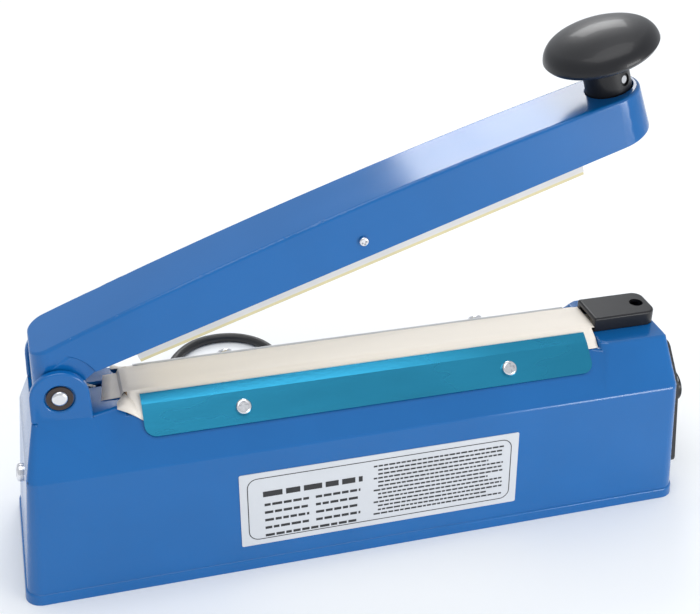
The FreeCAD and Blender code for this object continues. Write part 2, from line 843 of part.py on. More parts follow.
def make_clamp_strip():
    """A bent sheet strip over the cloth's edge, with round lower corners and two screw holes."""
    bottom = slope_yz(strip_start())
    shoulder = (-bar_shoulder_half, bar_shoulder_height)
    bar_edge = (-bar_top_width / 2, bar_top_height)
    run = math.hypot(bar_edge[0] - shoulder[0], bar_edge[1] - shoulder[1])
    share = strip_band / run
    top = (shoulder[0] + (bar_edge[0] - shoulder[0]) * share,
           shoulder[1] + (bar_edge[1] - shoulder[1]) * share)
    section = offset_section([bottom, shoulder, top], cloth_thickness + strip_clear, strip_thickness)
    strip = prism([V(strip_left, y, z) for y, z in section], V(strip_length, 0, 0))
    for corner_x, side in ((strip_left, 1), (strip_right, -1)):
        strip = strip.cut(corner_waste(corner_x, side))
    for x, distance in clamp_screw_places():
        strip = strip.cut(rod(small_screw_radius + screw_clearance, slope_point(distance, -2, x),
                              slope_out, 5))
    return strip


def corner_waste(x, side):
    """What is taken off a lower corner of the front strip to leave it round."""
    low = strip_start()
    square = [slope_point(low - 1, -1, x - side), slope_point(low - 1, -1, x + side * strip_corner),
              slope_point(low + strip_corner, -1, x + side * strip_corner),
              slope_point(low + strip_corner, -1, x - side)]
    waste = prism(square, slope_out * 4)
    keep = rod(strip_corner, slope_point(low + strip_corner, -2, x + side * strip_corner), slope_out, 6)
    return waste.cut(keep)


def make_clamp_screws():
    height = cloth_thickness + strip_clear + strip_thickness
    screws = [pan_screw(slope_point(d, height, x), slope_out * -1, screw_length)
              for x, d in clamp_screw_places()]
    return Part.makeCompound(screws + [mirrored(s) for s in screws])


def element_terminal(face, side, length):
    """A brass block that holds one end of the element, inside its end block."""
    near = face + side * (wall + terminal_gap)
    x0, x1 = sorted((near, near + side * length))
    top = block_top_height - wall - terminal_gap
    return box(x0, x1, -terminal_width / 2, terminal_width / 2, top - terminal_height, top)


def make_sprung_terminal():
    return element_terminal(seat_left, -1, sprung_terminal_length)


def make_fixed_terminal():
    return element_terminal(seat_right, 1, fixed_terminal_length)


def make_tension_spring():
    """Spring that keeps the hot element tight, from its sliding terminal towards the hinge."""
    block = make_sprung_terminal().BoundBox
    start = V(block.XMin - AIR, 0, (block.ZMin + block.ZMax) / 2)
    return spring(tension_spring_radius, tension_spring_wire, tension_spring_turns,
                  start, ALONG * -1, tension_spring_length)


# ================================================================ hinge
def make_hinge_pin():
    length = 2 * (lug_face + pin_end_stand)
    pin = rod(pin_radius, V(pin_x, -length / 2, pin_height), ACROSS, length)
    rims = [e for e in pin.Edges if e.Curve.TypeId == "Part::GeomCircle"]
    return pin.makeFillet(pin_radius * pin_dome_share, rims)


def make_retaining_rings():
    start = -lug_face + lug_recess_depth - ring_gap - ring_thickness
    ring = tube(ring_radius, pin_radius + pin_clearance, V(pin_x, start, pin_height), ACROSS,
                ring_thickness)
    return Part.makeCompound([ring, mirrored(ring)])


def make_lift_spring():
    """Torsion spring round the pin: one leg under the arm's roof, one on the block's top."""
    length = hinge_spring_turns * hinge_spring_wire * close_coil_pitch
    coil = spring(hinge_spring_radius, hinge_spring_wire, hinge_spring_turns, V(0, -length / 2, 0),
                  ACROSS, length)
    r = hinge_spring_wire / 2
    side = length / 2 - r
    up = math.radians(upper_leg_angle)
    down = math.radians(lower_leg_angle)
    upper = rod(r, V(0, -side, hinge_spring_radius), V(math.cos(up), 0, math.sin(up)), hinge_spring_leg)
    lower = rod(r, V(0, side, -hinge_spring_radius), V(math.cos(down), 0, math.sin(down)),
                hinge_spring_leg)
    return swing_open(coil.multiFuse([upper, lower]))


def spring_leg_slot():
    """Slot in the hinge block's top that the lift spring's lower leg goes through."""
    side = (hinge_spring_turns * hinge_spring_wire * close_coil_pitch - hinge_spring_wire) / 2
    half = hinge_spring_wire / 2 + leg_slot_clearance
    return box(pin_x + leg_slot_start, pin_x + leg_slot_end, side - half, side + half,
               block_top_height - wall - 1, block_top_height + 1)


# ================================================================ arm
def arm_outline(height, inset):
    """The arm's level outline at a height over the pin, squarer behind than at the knob."""
    share = (height - arm_edge_height) / (arm_top_middle - arm_edge_height)
    half = arm_half_width(height) - inset
    x0 = -arm_back + arm_back_lean * share + inset
    x1 = arm_length - arm_back - arm_front_lean * share - inset
    back = arm_back_corner - inset
    side_start, side_end = x0 + back, x1 - half
    k = back * (1 - math.sqrt(0.5))
    points = [V(side_start, -half, height), V(side_end, -half, height), V(x1, 0, height),
              V(side_end, half, height), V(side_start, half, height), V(x0 + k, half - k, height),
              V(x0, half - back, height), V(x0, back - half, height), V(x0 + k, k - half, height)]
    return Part.Wire([
        Part.LineSegment(points[0], points[1]).toShape(),
        Part.Arc(points[1], points[2], points[3]).toShape(),
        Part.LineSegment(points[3], points[4]).toShape(),
        Part.Arc(points[4], points[5], points[6]).toShape(),
        Part.LineSegment(points[6], points[7]).toShape(),
        Part.Arc(points[7], points[8], points[0]).toShape()])


def arm_form(inset):
    """The arm's outer form, or its hollow when moved in, drawn level about the pin."""
    front = arm_length - arm_back
    low = arm_edge_height if inset == 0 else arm_edge_height - 5
    body = Part.makeLoft([arm_outline(low, inset), arm_outline(arm_top_middle + 6, inset)], True, True)
    aside = -arm_width
    back_x, front_x = -arm_back - 5, front + 5
    back_top = V(back_x, aside, arm_top_back - inset)
    middle_top = V((front - arm_back) / 2, aside, arm_top_middle - inset)
    front_top = V(front_x, aside, arm_top_front - inset)
    front_low, back_low = V(front_x, aside, -20), V(back_x, aside, -20)
    crown = Part.Wire([
        Part.Arc(back_top, middle_top, front_top).toShape(),
        Part.LineSegment(front_top, front_low).toShape(),
        Part.LineSegment(front_low, back_low).toShape(),
        Part.LineSegment(back_low, back_top).toShape()])
    return body.common(Part.Face(crown).extrude(V(0, 2 * arm_width, 0)))


def soften_arm_top(form):
    """Round the edge all the way round the arm's top."""
    top = [e for e in form.Edges if e.BoundBox.ZMin > arm_top_back - 2.5]
    return form.makeFillet(arm_edge_radius, top)


def make_arm_cover():
    shell = soften_arm_top(arm_form(0)).cut(arm_form(arm_wall))
    notch = rod(arm_notch_radius, V(0, -arm_width, 0), ACROSS, arm_width - ear_outer)
    shell = shell.cut(both_sides(notch))
    shell = shell.multiFuse([arm_ears(), neck_guide(), holder_posts(), seat_posts()])
    shell = shell.cut(rod(pin_radius + pin_clearance, V(0, -FAR, 0), ACROSS, 2 * FAR))
    shell = shell.cut(rod(neck_radius + neck_clearance, V(knob_x, 0, neck_bottom), UP, 40))
    shell = shell.cut(rod(holder_bolt_radius, V(holder_bolt_x, -FAR, holder_bolt_height), ACROSS, 2 * FAR))
    return swing_open(shell.removeSplitter())


def arm_ears():
    """Inner plates that hang from the arm's roof to the pin."""
    inner = ear_outer - ear_thickness
    hub = rod(ear_radius, V(0, -ear_outer, 0), ACROSS, ear_thickness)
    reach = ear_radius + 9
    plate = prism([V(-ear_radius * 0.75, -ear_outer, 0), V(ear_radius, -ear_outer, 0),
                   V(reach, -ear_outer, arm_edge_height), V(reach, -ear_outer, arm_top_back + 6),
                   V(-ear_radius * 0.75, -ear_outer, arm_top_back + 6)],
                  V(0, ear_outer - inner, 0))
    inside = arm_form(arm_wall * 0.5)
    hung = plate.common(inside).fuse(hub)
    return both_sides(hung)


def neck_guide():
    """A collar under the arm's roof that guides the knob's neck."""
    low = neck_bottom + flange_thickness + guide_gap
    collar = rod(neck_radius + neck_clearance + arm_wall, V(knob_x, 0, low), UP, arm_top_front)
    return collar.common(arm_form(arm_wall * 0.5))


def holder_posts():
    """Two ribs inside the roof that carry the holder's ends."""
    ribs = []
    top_of_holder = holder_bottom() + holder_height
    for x in (holder_start + 14, holder_start + holder_length - 14):
        ribs.append(box(x - 1.2, x + 1.2, -arm_width / 2, arm_width / 2, top_of_holder + 0.2, 40))
    return ribs[0].fuse(ribs[1]).common(arm_form(arm_wall * 0.5))


def seat_posts():
    """Side ribs that the spring's seat rests on."""
    low = spring_seat_height + spring_seat_thickness
    rib = box(knob_x - 5, knob_x - 3, -arm_width / 2, -flange_radius - guide_rib_gap, low, low + 6)
    return both_sides(rib).common(arm_form(arm_wall * 0.5))


def holder_bottom():
    return silicone_bottom + silicone_thickness


def make_silicone_holder():
    """U-channel that carries the silicone, open at the top."""
    low = holder_bottom()
    half = holder_width / 2
    outer = box(holder_start, holder_start + holder_length, -half, half, low, low + holder_height)
    groove = box(holder_start - 1, holder_start + holder_length + 1, -half + holder_wall,
                 half - holder_wall, low + holder_wall, low + holder_height + 1)
    channel = outer.cut(groove)
    channel = channel.cut(rod(holder_bolt_radius + pin_clearance,
                              V(holder_bolt_x, -FAR, holder_bolt_height), ACROSS, 2 * FAR))
    return swing_open(channel)


def make_silicone_strip():
    half = silicone_width / 2
    strip = box(holder_start, holder_start + holder_length, -half, half,
                silicone_bottom, silicone_bottom + silicone_thickness)
    lower = [e for e in strip.Edges if e.BoundBox.ZMax < silicone_bottom + 0.1 and e.Length > 100]
    return swing_open(strip.makeFillet(silicone_round, lower))


def arm_half_width(height):
    """Half width of the arm's outside at a height over the pin."""
    taper = (arm_width - arm_top_width) / 2 / (arm_top_middle - arm_edge_height)
    return arm_width / 2 - taper * (height - arm_edge_height)


def make_holder_bolt():
    outside = arm_half_width(holder_bolt_height - holder_bolt_head) + 0.05
    place = V(holder_bolt_x, -outside, holder_bolt_height)
    bolt = pan_screw(place, ACROSS, 2 * outside + holder_nut_thickness, holder_bolt_radius, holder_bolt_head)
    nut_start = V(holder_bolt_x, outside, holder_bolt_height)
    nut = tube(holder_bolt_head, holder_bolt_radius, nut_start, ACROSS, holder_nut_thickness)
    return swing_open(Part.makeCompound([bolt.cut(nut), nut]))


def make_holder_spacers():
    """Two sleeves on the bolt that centre the holder in the arm."""
    inner = holder_width / 2 + AIR
    outer = arm_half_width(holder_bolt_height + holder_spacer_radius) - arm_wall - AIR
    sleeve = tube(holder_spacer_radius, holder_bolt_radius + pin_clearance,
                  V(holder_bolt_x, -outer, holder_bolt_height), ACROSS, outer - inner)
    return swing_open(Part.makeCompound([sleeve, mirrored(sleeve)]))


# ================================================================ press knob
def knob_arc(height, edge_radius):
    """Edge height of the cap's round rim on one side, and how far its broad arc drops half way out."""
    edge_height = height * math.sqrt(1 - knob_edge_share ** 2)
    drop = height - edge_height
    broad = (edge_radius ** 2 + drop ** 2) / (2 * drop)
    return edge_height, broad - math.sqrt(broad ** 2 - edge_radius ** 2 / 4)


def make_knob_cap():
    """A domed round knob with a shallow underside and a socket for the neck."""
    edge_radius = knob_radius * knob_edge_share
    upper_edge, upper_drop = knob_arc(knob_dome_height, edge_radius)
    lower_edge, lower_drop = knob_arc(knob_foot_depth, edge_radius)

    def at(radius, height):
        return V(knob_x + radius, 0, knob_rim_height + height)

    crown, foot = at(0, knob_dome_height), at(0, -knob_foot_depth)
    shoulder, rim, underside = at(edge_radius, upper_edge), at(knob_radius, 0), at(edge_radius, -lower_edge)
    rim_half = math.sqrt((1 + knob_edge_share) / 2)
    rim_rise = math.sqrt(1 - rim_half ** 2)
    outline = Part.Wire([
        Part.LineSegment(crown, foot).toShape(),
        Part.Arc(foot, at(edge_radius / 2, lower_drop - knob_foot_depth), underside).toShape(),
        Part.Arc(underside, at(knob_radius * rim_half, -knob_foot_depth * rim_rise), rim).toShape(),
        Part.Arc(rim, at(knob_radius * rim_half, knob_dome_height * rim_rise), shoulder).toShape(),
        Part.Arc(shoulder, at(edge_radius / 2, knob_dome_height - upper_drop), crown).toShape()])
    cap = Part.Face(outline).revolve(V(knob_x, 0, 0), UP, 360)
    socket = rod(neck_radius + pin_clearance, V(knob_x, 0, 0), UP, neck_top)
    return swing_open(cap.cut(socket))


def make_knob_neck():
    """Hollow neck with a stop flange inside the arm and a recess for the cross pin."""
    neck = rod(neck_radius, V(knob_x, 0, neck_bottom), UP, neck_top - neck_bottom)
    flange = rod(flange_radius, V(knob_x, 0, neck_bottom), UP, flange_thickness)
    bore = rod(neck_bore, V(knob_x, 0, neck_bottom + flange_thickness), UP, neck_top)
    direction = cross_pin_direction()
    middle = V(knob_x, 0, cross_pin_height)
    hole = rod(cross_pin_radius, middle - direction * 20, direction, 40)
    recess_radius = cross_pin_radius + cross_pin_recess
    reach = direction * (neck_radius - cross_pin_recess_depth)
    recess = rod(recess_radius, middle + reach, direction, 3)
    other = rod(recess_radius, middle - reach, direction * -1, 3)
    rod_hole = rod(trigger_radius, V(trigger_x, 0, neck_bottom), UP, flange_thickness)
    body = neck.fuse(flange).cut(bore)
    return swing_open(body.cut(hole).cut(recess).cut(other).cut(rod_hole))


def cross_pin_direction():
    angle = math.radians(cross_pin_angle)
    return V(math.cos(angle), math.sin(angle), 0)


def make_cross_pin():
    direction = cross_pin_direction()
    half = neck_radius - cross_pin_short
    pin = rod(cross_pin_radius, V(knob_x, 0, cross_pin_height) - direction * half, direction, 2 * half)
    return swing_open(pin)


def make_trigger_rod():
    """Pin in the neck's flange that reaches down to the switch."""
    length = neck_bottom + flange_thickness - trigger_tip
    pin = rod(trigger_radius, V(trigger_x, 0, trigger_tip), UP, length)
    return swing_open(pin.makeFillet(trigger_radius * 0.5, [pin.Edges[2]]))


def make_spring_seat():
    """Plate across the arm's mouth that holds the return spring."""
    reach = flange_radius + guide_rib_gap
    plate = rounded_slab(knob_x - reach, knob_x + reach - 1.0, -reach - 2.4, reach + 2.4, 8.0,
                         spring_seat_height, spring_seat_thickness)
    plate = plate.common(arm_form(arm_wall + 0.1))
    plate = plate.cut(rod(trigger_radius + 0.5, V(trigger_x, 0, 0), UP, 20))
    return swing_open(plate)


def make_return_spring():
    low = spring_seat_height + spring_seat_thickness
    start = V(knob_x + return_spring_shift, 0, low + 0.05)
    coil_radius = return_spring_radius - return_spring_inset
    return swing_open(spring(coil_radius, return_spring_wire, return_spring_turns, start, UP,
                             neck_bottom - low - AIR))


# ================================================================ switch end
def cover_right():
    return half_length - right_top_inset - guide_cover_end_gap


def make_switch_guide():
    """Black cap over the switch, arched at the jaw side, with the trigger's guide hole."""
    right = cover_right()
    left = right - guide_cover_length
    half = guide_cover_width / 2
    low, high = block_top_height, block_top_height + guide_cover_height
    cap = rounded_slab(left, right, -half, half, guide_cover_radius, low, guide_cover_height)
    square_end = box(left, left + guide_cover_length / 2, -half, half, low, high)
    cap = cap.fuse(square_end).removeSplitter()
    rim = [e for e in cap.Edges if e.BoundBox.ZMin > high - 0.1]
    cap = cap.makeFillet(guide_cover_round, rim)
    hollow = box(left + guide_cover_wall, right - guide_cover_wall - 2, -half + guide_cover_wall,
                 half - guide_cover_wall, low, high - guide_cover_wall)
    arch = box(left - 1, left + 6, -arch_width / 2, arch_width / 2, low, low + arch_height)
    hole = rod(guide_hole_radius, V(trigger_world_x, 0, low), UP, 20)
    return cap.cut(hollow).cut(arch).cut(hole)


def switch_box():
    """Low and high corners of the microswitch's body."""
    right = trigger_world_x + switch_end_gap
    top = block_top_height - wall - switch_top_gap
    return (right - switch_length, right, -switch_width / 2, switch_width / 2,
            top - switch_height, top)


def make_microswitch_body():
    x0, x1, y0, y1, z0, z1 = switch_box()
    body = box(x0, x1, y0, y1, z0, z1)
    body = body.cut(rod(button_radius + pin_clearance, V(trigger_world_x, 0, z1 - 5), UP, 10))
    for place in switch_hole_places:
        body = body.cut(rod(switch_hole_radius, V(x0 + place, -FAR, z0 + switch_hole_height),
                            ACROSS, 2 * FAR))
    terminals = [box(x0 + d, x0 + d + 3, -0.3, 0.3, z0 - 4, z0 + 1) for d in switch_terminal_places]
    return body.multiFuse(terminals)


def make_microswitch_button():
    top = block_top_height + button_stand
    low = switch_box()[5] - 5 + button_travel + 0.1
    button = rod(button_radius, V(trigger_world_x, 0, low), UP, top - low)
    return button.makeFillet(button_round, [button.Edges[0]])


def make_microswitch_bracket():
    """Angle that hangs the microswitch from the block's top."""
    x0, x1, y0, y1, z0, z1 = switch_box()
    top = block_top_height - wall
    sheet = switch_bracket_sheet
    side = box(x0, x1 - 6, y1 + 0.05, y1 + 0.05 + sheet, z0 + 0.5, top)
    flap = box(x0, x1 - 6, y1 + 0.05, y1 + 7, top - sheet, top)
    bracket = side.fuse(flap)
    return bracket.cut(rod(switch_hole_radius, V(x0 + switch_hole_places[0], -FAR, z0 + switch_hole_height),
                           ACROSS, 2 * FAR))


# ================================================================ control panel
def panel_face():
    """Outline of the control panel on the leaning right wall, as x across and y up."""
    low = panel_bottom
    high = panel_top
    _, _, half_low = housing_outline(low, panel_margin)
    _, _, half_crease = housing_outline(crease_height, panel_margin)
    _, _, half_high = housing_outline(high, panel_margin)
    points = [V(-half_low, low, 0), V(half_low, low, 0), V(half_crease, crease_height - 2, 0),
              V(half_high, high, 0), V(-half_high, high, 0), V(-half_crease, crease_height - 2, 0)]
    return points


def make_control_panel():
    plate = prism(panel_face(), V(0, 0, panel_thickness))
    upright = [e for e in plate.Edges if e.BoundBox.ZLength > panel_thickness * 0.9]
    plate = plate.makeFillet(panel_corner, upright)
    plate = plate.cut(rod(pot_bush_radius + AIR, V(0, dial_height, -1), UP, 10))
    plate = plate.cut(rod(lamp_radius + AIR, V(lamp_across, lamp_height, -1), UP, 10))
    for place in panel_screw_places():
        plate = plate.cut(rod(small_screw_radius + panel_hole_clearance, place - V(0, 0, 1), UP, 10))
    return onto_right_end(plate)


def panel_screw_places():
    """Screw seats near the panel's four corners, as x across and y up."""
    places = []
    for height in (panel_bottom + panel_screw_inset, crease_height - panel_upper_screws):
        half = housing_outline(height, panel_margin + panel_screw_inset)[2]
        places += [V(-half, height, 0), V(half, height, 0)]
    return places


def panel_wall_holes():
    holes = [rod(pot_bush_radius + panel_hole_clearance, V(0, dial_height, -20), UP, 30),
             rod(lamp_radius + 2 * panel_hole_clearance, V(lamp_across, lamp_height, -20), UP, 30)]
    for place in panel_screw_places():
        holes.append(rod(small_screw_radius, place - V(0, 0, 12), UP, 14))
    return onto_right_end(holes[0].multiFuse(holes[1:]))


def make_panel_screws():
    screws = [pan_screw(p + V(0, 0, panel_thickness), UP * -1, screw_length) for p in panel_screw_places()]
    return onto_right_end(Part.makeCompound(screws))


def make_potentiometer():
    """Timer potentiometer body with its threaded bush through wall and panel."""
    inner_face = -wall / math.cos(right_lean) - AIR
    body = rod(pot_body_radius, V(0, dial_height, inner_face - pot_body_depth), UP, pot_body_depth)
    bush = rod(pot_bush_radius, V(0, dial_height, inner_face), UP,
               panel_thickness + pot_bush_stand - inner_face)
    pins = [box(d - 0.6, d + 0.6, dial_height - pot_body_radius - 6, dial_height - pot_body_radius / 2,
                inner_face - 3, inner_face - 2.4) for d in (-5, 0, 5)]
    body = body.fuse(bush).multiFuse(pins)
    shaft_hole = rod(pot_shaft_radius + pot_shaft_clearance, V(0, dial_height, inner_face - 4), UP, 40)
    return onto_right_end(body.cut(shaft_hole))


def make_potentiometer_nut():
    nut = Part.makePolygon([V(pot_nut_radius * math.cos(math.radians(60 * i)),
                              dial_height + pot_nut_radius * math.sin(math.radians(60 * i)),
                              panel_thickness) for i in range(7)])
    solid = Part.Face(nut).extrude(V(0, 0, pot_nut_thickness))
    return onto_right_end(solid.cut(rod(pot_bush_radius, V(0, dial_height, 0), UP, 30)))


def dial_low():
    return panel_thickness + dial_gap


def make_potentiometer_shaft():
    inner_face = -wall / math.cos(right_lean) - AIR
    low = inner_face - 4 + 0.2
    high = dial_low() + dial_thickness - dial_roof
    return onto_right_end(rod(pot_shaft_radius, V(0, dial_height, low), UP, high - low))


def make_dial_knob():
    """Fluted timer knob with a raised pointer."""
    low = dial_low()
    knob = Part.makeCone(dial_radius, dial_radius - dial_taper, dial_thickness, V(0, dial_height, low), UP)
    knob = knob.makeFillet(dial_round, [knob.Edges[0]])
    for i in range(dial_flutes):
        angle = math.radians(360 / dial_flutes * i)
        groove = rod(dial_flute_radius, V((dial_radius + AIR) * math.cos(angle),
                            dial_height + (dial_radius + AIR) * math.sin(angle), low + 3), UP, 20)
        knob = knob.cut(groove)
    hollow = rod(pot_nut_radius + 0.8, V(0, dial_height, low), UP,
                 max(pot_bush_stand, pot_nut_thickness) + 0.4)
    knob = knob.cut(hollow)
    high = low + dial_thickness
    knob = knob.cut(rod(pot_shaft_radius, V(0, dial_height, low), UP, dial_thickness - dial_roof))
    pointer = box(-dial_pointer_half, dial_pointer_half, dial_height + dial_pointer_inset,
                  dial_height + dial_radius - dial_pointer_inset, high - dial_pointer_stand,
                  high + dial_pointer_stand)
    return onto_right_end(knob.fuse(pointer))


def make_indicator_lamp():
    """Neon lamp with a domed lens in the panel."""
    low = -wall - lamp_body_depth
    body = rod(lamp_radius, V(lamp_across, lamp_height, low), UP, panel_thickness + lamp_stand - low)
    body = body.makeFillet(lamp_round, [body.Edges[0]])
    return onto_right_end(body)


def make_end_screw():
    """Pan-head screw in the hinge end's wall."""
    z = end_screw_height
    left, _, _ = housing_outline(z, 0)
    lean = math.atan2(left_crease_inset, crease_height)
    inward = V(math.cos(lean), 0, -math.sin(lean))
    return pan_screw(V(left, 0, z) - inward * 0.1, inward, end_screw_length, end_screw_radius, end_screw_head)


def end_screw_hole():
    z = end_screw_height
    left, _, _ = housing_outline(z, 0)
    lean = math.atan2(left_crease_inset, crease_height)
    inward = V(math.cos(lean), 0, -math.sin(lean))
    return rod(end_screw_radius, V(left, 0, z) - inward * end_screw_radius, inward,
               end_screw_length + end_screw_radius)


# ================================================================ transformer and timer board
def core_bottom():
    return plate_thickness + bracket_sheet + core_lift


def make_transformer_core():
    low = core_bottom()
    half = core_length / 2
    core = box(core_x - half, core_x + half, -core_stack / 2, core_stack / 2, low, low + core_height)
    for side in (-1, 1):
        middle = core_x + side * core_limb * 1.5
        core = core.cut(box(middle - core_limb / 2, middle + core_limb / 2, -50, 50,
                            low + core_limb, low + core_height - core_limb))
    return core


def window_low():
    return core_bottom() + core_limb


def window_high():
    return core_bottom() + core_height - core_limb


def winding_ring(inner_gap, depth, low, high):
    """A square ring round the core's middle limb."""
    x_in, y_in = core_limb + inner_gap, core_stack / 2 + inner_gap
    outer = box(core_x - x_in - depth, core_x + x_in + depth, -y_in - depth, y_in + depth, low, high)
    return outer.cut(box(core_x - x_in, core_x + x_in, -y_in, y_in, low, high))


def make_transformer_bobbin():
    gap = 0.15
    low, high = window_low() + gap, window_high() - gap
    sleeve = winding_ring(gap, bobbin_wall, low, high)
    flange_depth = winding_depth + bobbin_wall
    ends = [winding_ring(gap, flange_depth, z, z + bobbin_wall) for z in (low, high - bobbin_wall)]
    middle = (low + high) / 2
    ends.append(winding_ring(gap, flange_depth, middle - bobbin_wall / 2, middle + bobbin_wall / 2))
    return sleeve.multiFuse(ends)


def make_winding(upper):
    """The thick heating winding above, or the mains winding below."""
    gap = 0.15
    low, high = window_low() + gap, window_high() - gap
    middle = (low + high) / 2
    a, b = (middle + bobbin_wall / 2, high - bobbin_wall) if upper else (low + bobbin_wall,
                                                                        middle - bobbin_wall / 2)
    return winding_ring(gap + bobbin_wall + 0.05, winding_depth - 0.6, a + 0.05, b - 0.05)


def make_transformer_bracket():
    """U-strap over the core with a foot each side."""
    low = plate_thickness
    top = core_bottom() + core_height + 0.1
    half = core_length / 2 + 0.1
    width = core_stack - 6
    outer = box(core_x - half - bracket_sheet, core_x + half + bracket_sheet, -width / 2, width / 2,
                low, top + bracket_sheet)
    inner = box(core_x - half, core_x + half, -width / 2, width / 2, low - 1, top)
    strap = outer.cut(inner)
    for side in (-1, 1):
        edge = core_x + side * half
        x0, x1 = sorted((edge, edge + side * (bracket_foot + bracket_sheet)))
        foot = box(x0, x1, -width / 2, width / 2, low, low + bracket_sheet)
        strap = strap.fuse(foot)
    for place in transformer_screw_places():
        strap = strap.cut(rod(small_screw_radius + screw_clearance, place, UP, 10))
    return strap


def transformer_screw_places():
    reach = core_length / 2 + bracket_hole_reach
    return [V(core_x + side * reach, 0, 0) for side in (-1, 1)]


def make_transformer_screws():
    low = plate_thickness + bracket_sheet
    return Part.makeCompound([pan_screw(p + V(0, 0, low), UP * -1, low - 0.4)
                              for p in transformer_screw_places()])


def make_timer_board():
    x0 = board_x - board_length / 2
    board = box(x0, x0 + board_length, -board_width / 2, board_width / 2,
                board_height, board_height + board_thickness)
    for place in board_screw_places():
        board = board.cut(rod(small_screw_radius + 0.1, place, UP, 40))
    return board


def board_screw_places():
    dx, dy = board_length / 2 - 4, board_width / 2 - 4
    return [V(board_x + sx * dx, sy * dy, 0) for sx in (-1, 1) for sy in (-1, 1)]


def make_board_standoffs():
    posts = [tube(3.0, small_screw_radius, p + V(0, 0, plate_thickness), UP,
                  board_height - plate_thickness) for p in board_screw_places()]
    return Part.makeCompound(posts)


def make_board_screws():
    seat = board_height + board_thickness
    return Part.makeCompound([pan_screw(p + V(0, 0, seat), UP * -1, 7.0) for p in board_screw_places()])


def make_relay():
    top = board_height + board_thickness
    block = box(board_x - 24, board_x - 5, -8, 8, top, top + 16)
    return block.makeFillet(0.6, [e for e in block.Edges if e.BoundBox.ZMin > top + 1])


def make_capacitors():
    top = board_height + board_thickness
    cans = []
    for dx, dy, radius, height in ((4, -9, 5.0, 13.0), (4, 9, 4.0, 11.0), (15, 0, 3.2, 9.0)):
        can = rod(radius, V(board_x + dx, dy, top), UP, height)
        cans.append(can.makeFillet(0.5, [can.Edges[0]]))
    return Part.makeCompound(cans)


# ================================================================ mains lead
def rear_wall(z):
    return housing_outline(z, 0)[2]


def make_strain_relief():
    """Flanged, tapered sleeve through the rear wall."""
    face = rear_wall(relief_height)
    start = V(relief_x, face - wall - 3, relief_height)
    inner = rod(relief_root_radius, start, ACROSS, wall + 3 + relief_gap)
    flange = rod(relief_flange_radius, V(relief_x, face + relief_gap, relief_height), ACROSS,
                 relief_flange)
    taper_start = face + relief_gap + relief_flange
    taper_length = cord_route[0].y - taper_start
    taper = Part.makeCone(relief_root_radius, relief_tip_radius, taper_length,
                          V(relief_x, taper_start, relief_height), ACROSS)
    sleeve = inner.fuse(flange).fuse(taper)
    for i in range(4):
        y = taper_start + 4 + i * 4.5
        groove = tube(8, 3.6, V(relief_x, y, relief_height), ACROSS, 1.6)
        sleeve = sleeve.cut(groove)
    return sleeve


def make_cord_coil():
    """Outer form of the put-away lead's turns."""
    half = coil_columns * cord_diameter / 2
    height = coil_layers * cord_diameter
    ring = tube(coil_middle_radius + half, coil_middle_radius - half, coil_centre, UP, height)
    length = coil_columns * coil_layers * 2 * math.pi * coil_middle_radius
    print("cord_coil length", round(length, 1))
    return ring


def make_cord_tie():
    """A band round the coil's section on its far side."""
    half = coil_columns * cord_diameter / 2 + 0.1
    height = coil_layers * cord_diameter
    middle = coil_centre + V(0, coil_middle_radius, 0)
    outer = box(middle.x - 4, middle.x + 4, middle.y - half - 2.6, middle.y + half + 0.9, 0,
                height + 0.9)
    inner = box(middle.x - 5, middle.x + 5, middle.y - half - 1.7, middle.y + half,
                -1, height + 0.1)
    return outer.cut(inner)


def make_plug_body():
    """Flat two-pin plug lying on the table."""
    tail = Part.makeCone(cord_diameter / 2 + 0.8, 5.2, plug_tail, plug_start, ALONG)
    x0 = plug_start.x + plug_tail
    half = plug_width / 2
    body = box(x0, x0 + plug_length, plug_start.y - half, plug_start.y + half, 0, plug_thickness)
    body = body.makeFillet(plug_round, body.Edges)
    return body.fuse(tail)


def make_plug_pins():
    x0 = plug_start.x + plug_tail + plug_length
    pins = []
    for side in (-1, 1):
        pin = rod(plug_pin_radius, V(x0, plug_start.y + side * plug_pin_spacing / 2, plug_start.z),
                  ALONG, plug_pin_length)
        pins.append(pin.makeFillet(plug_pin_round, [pin.Edges[0]]))
    return Part.makeCompound(pins)


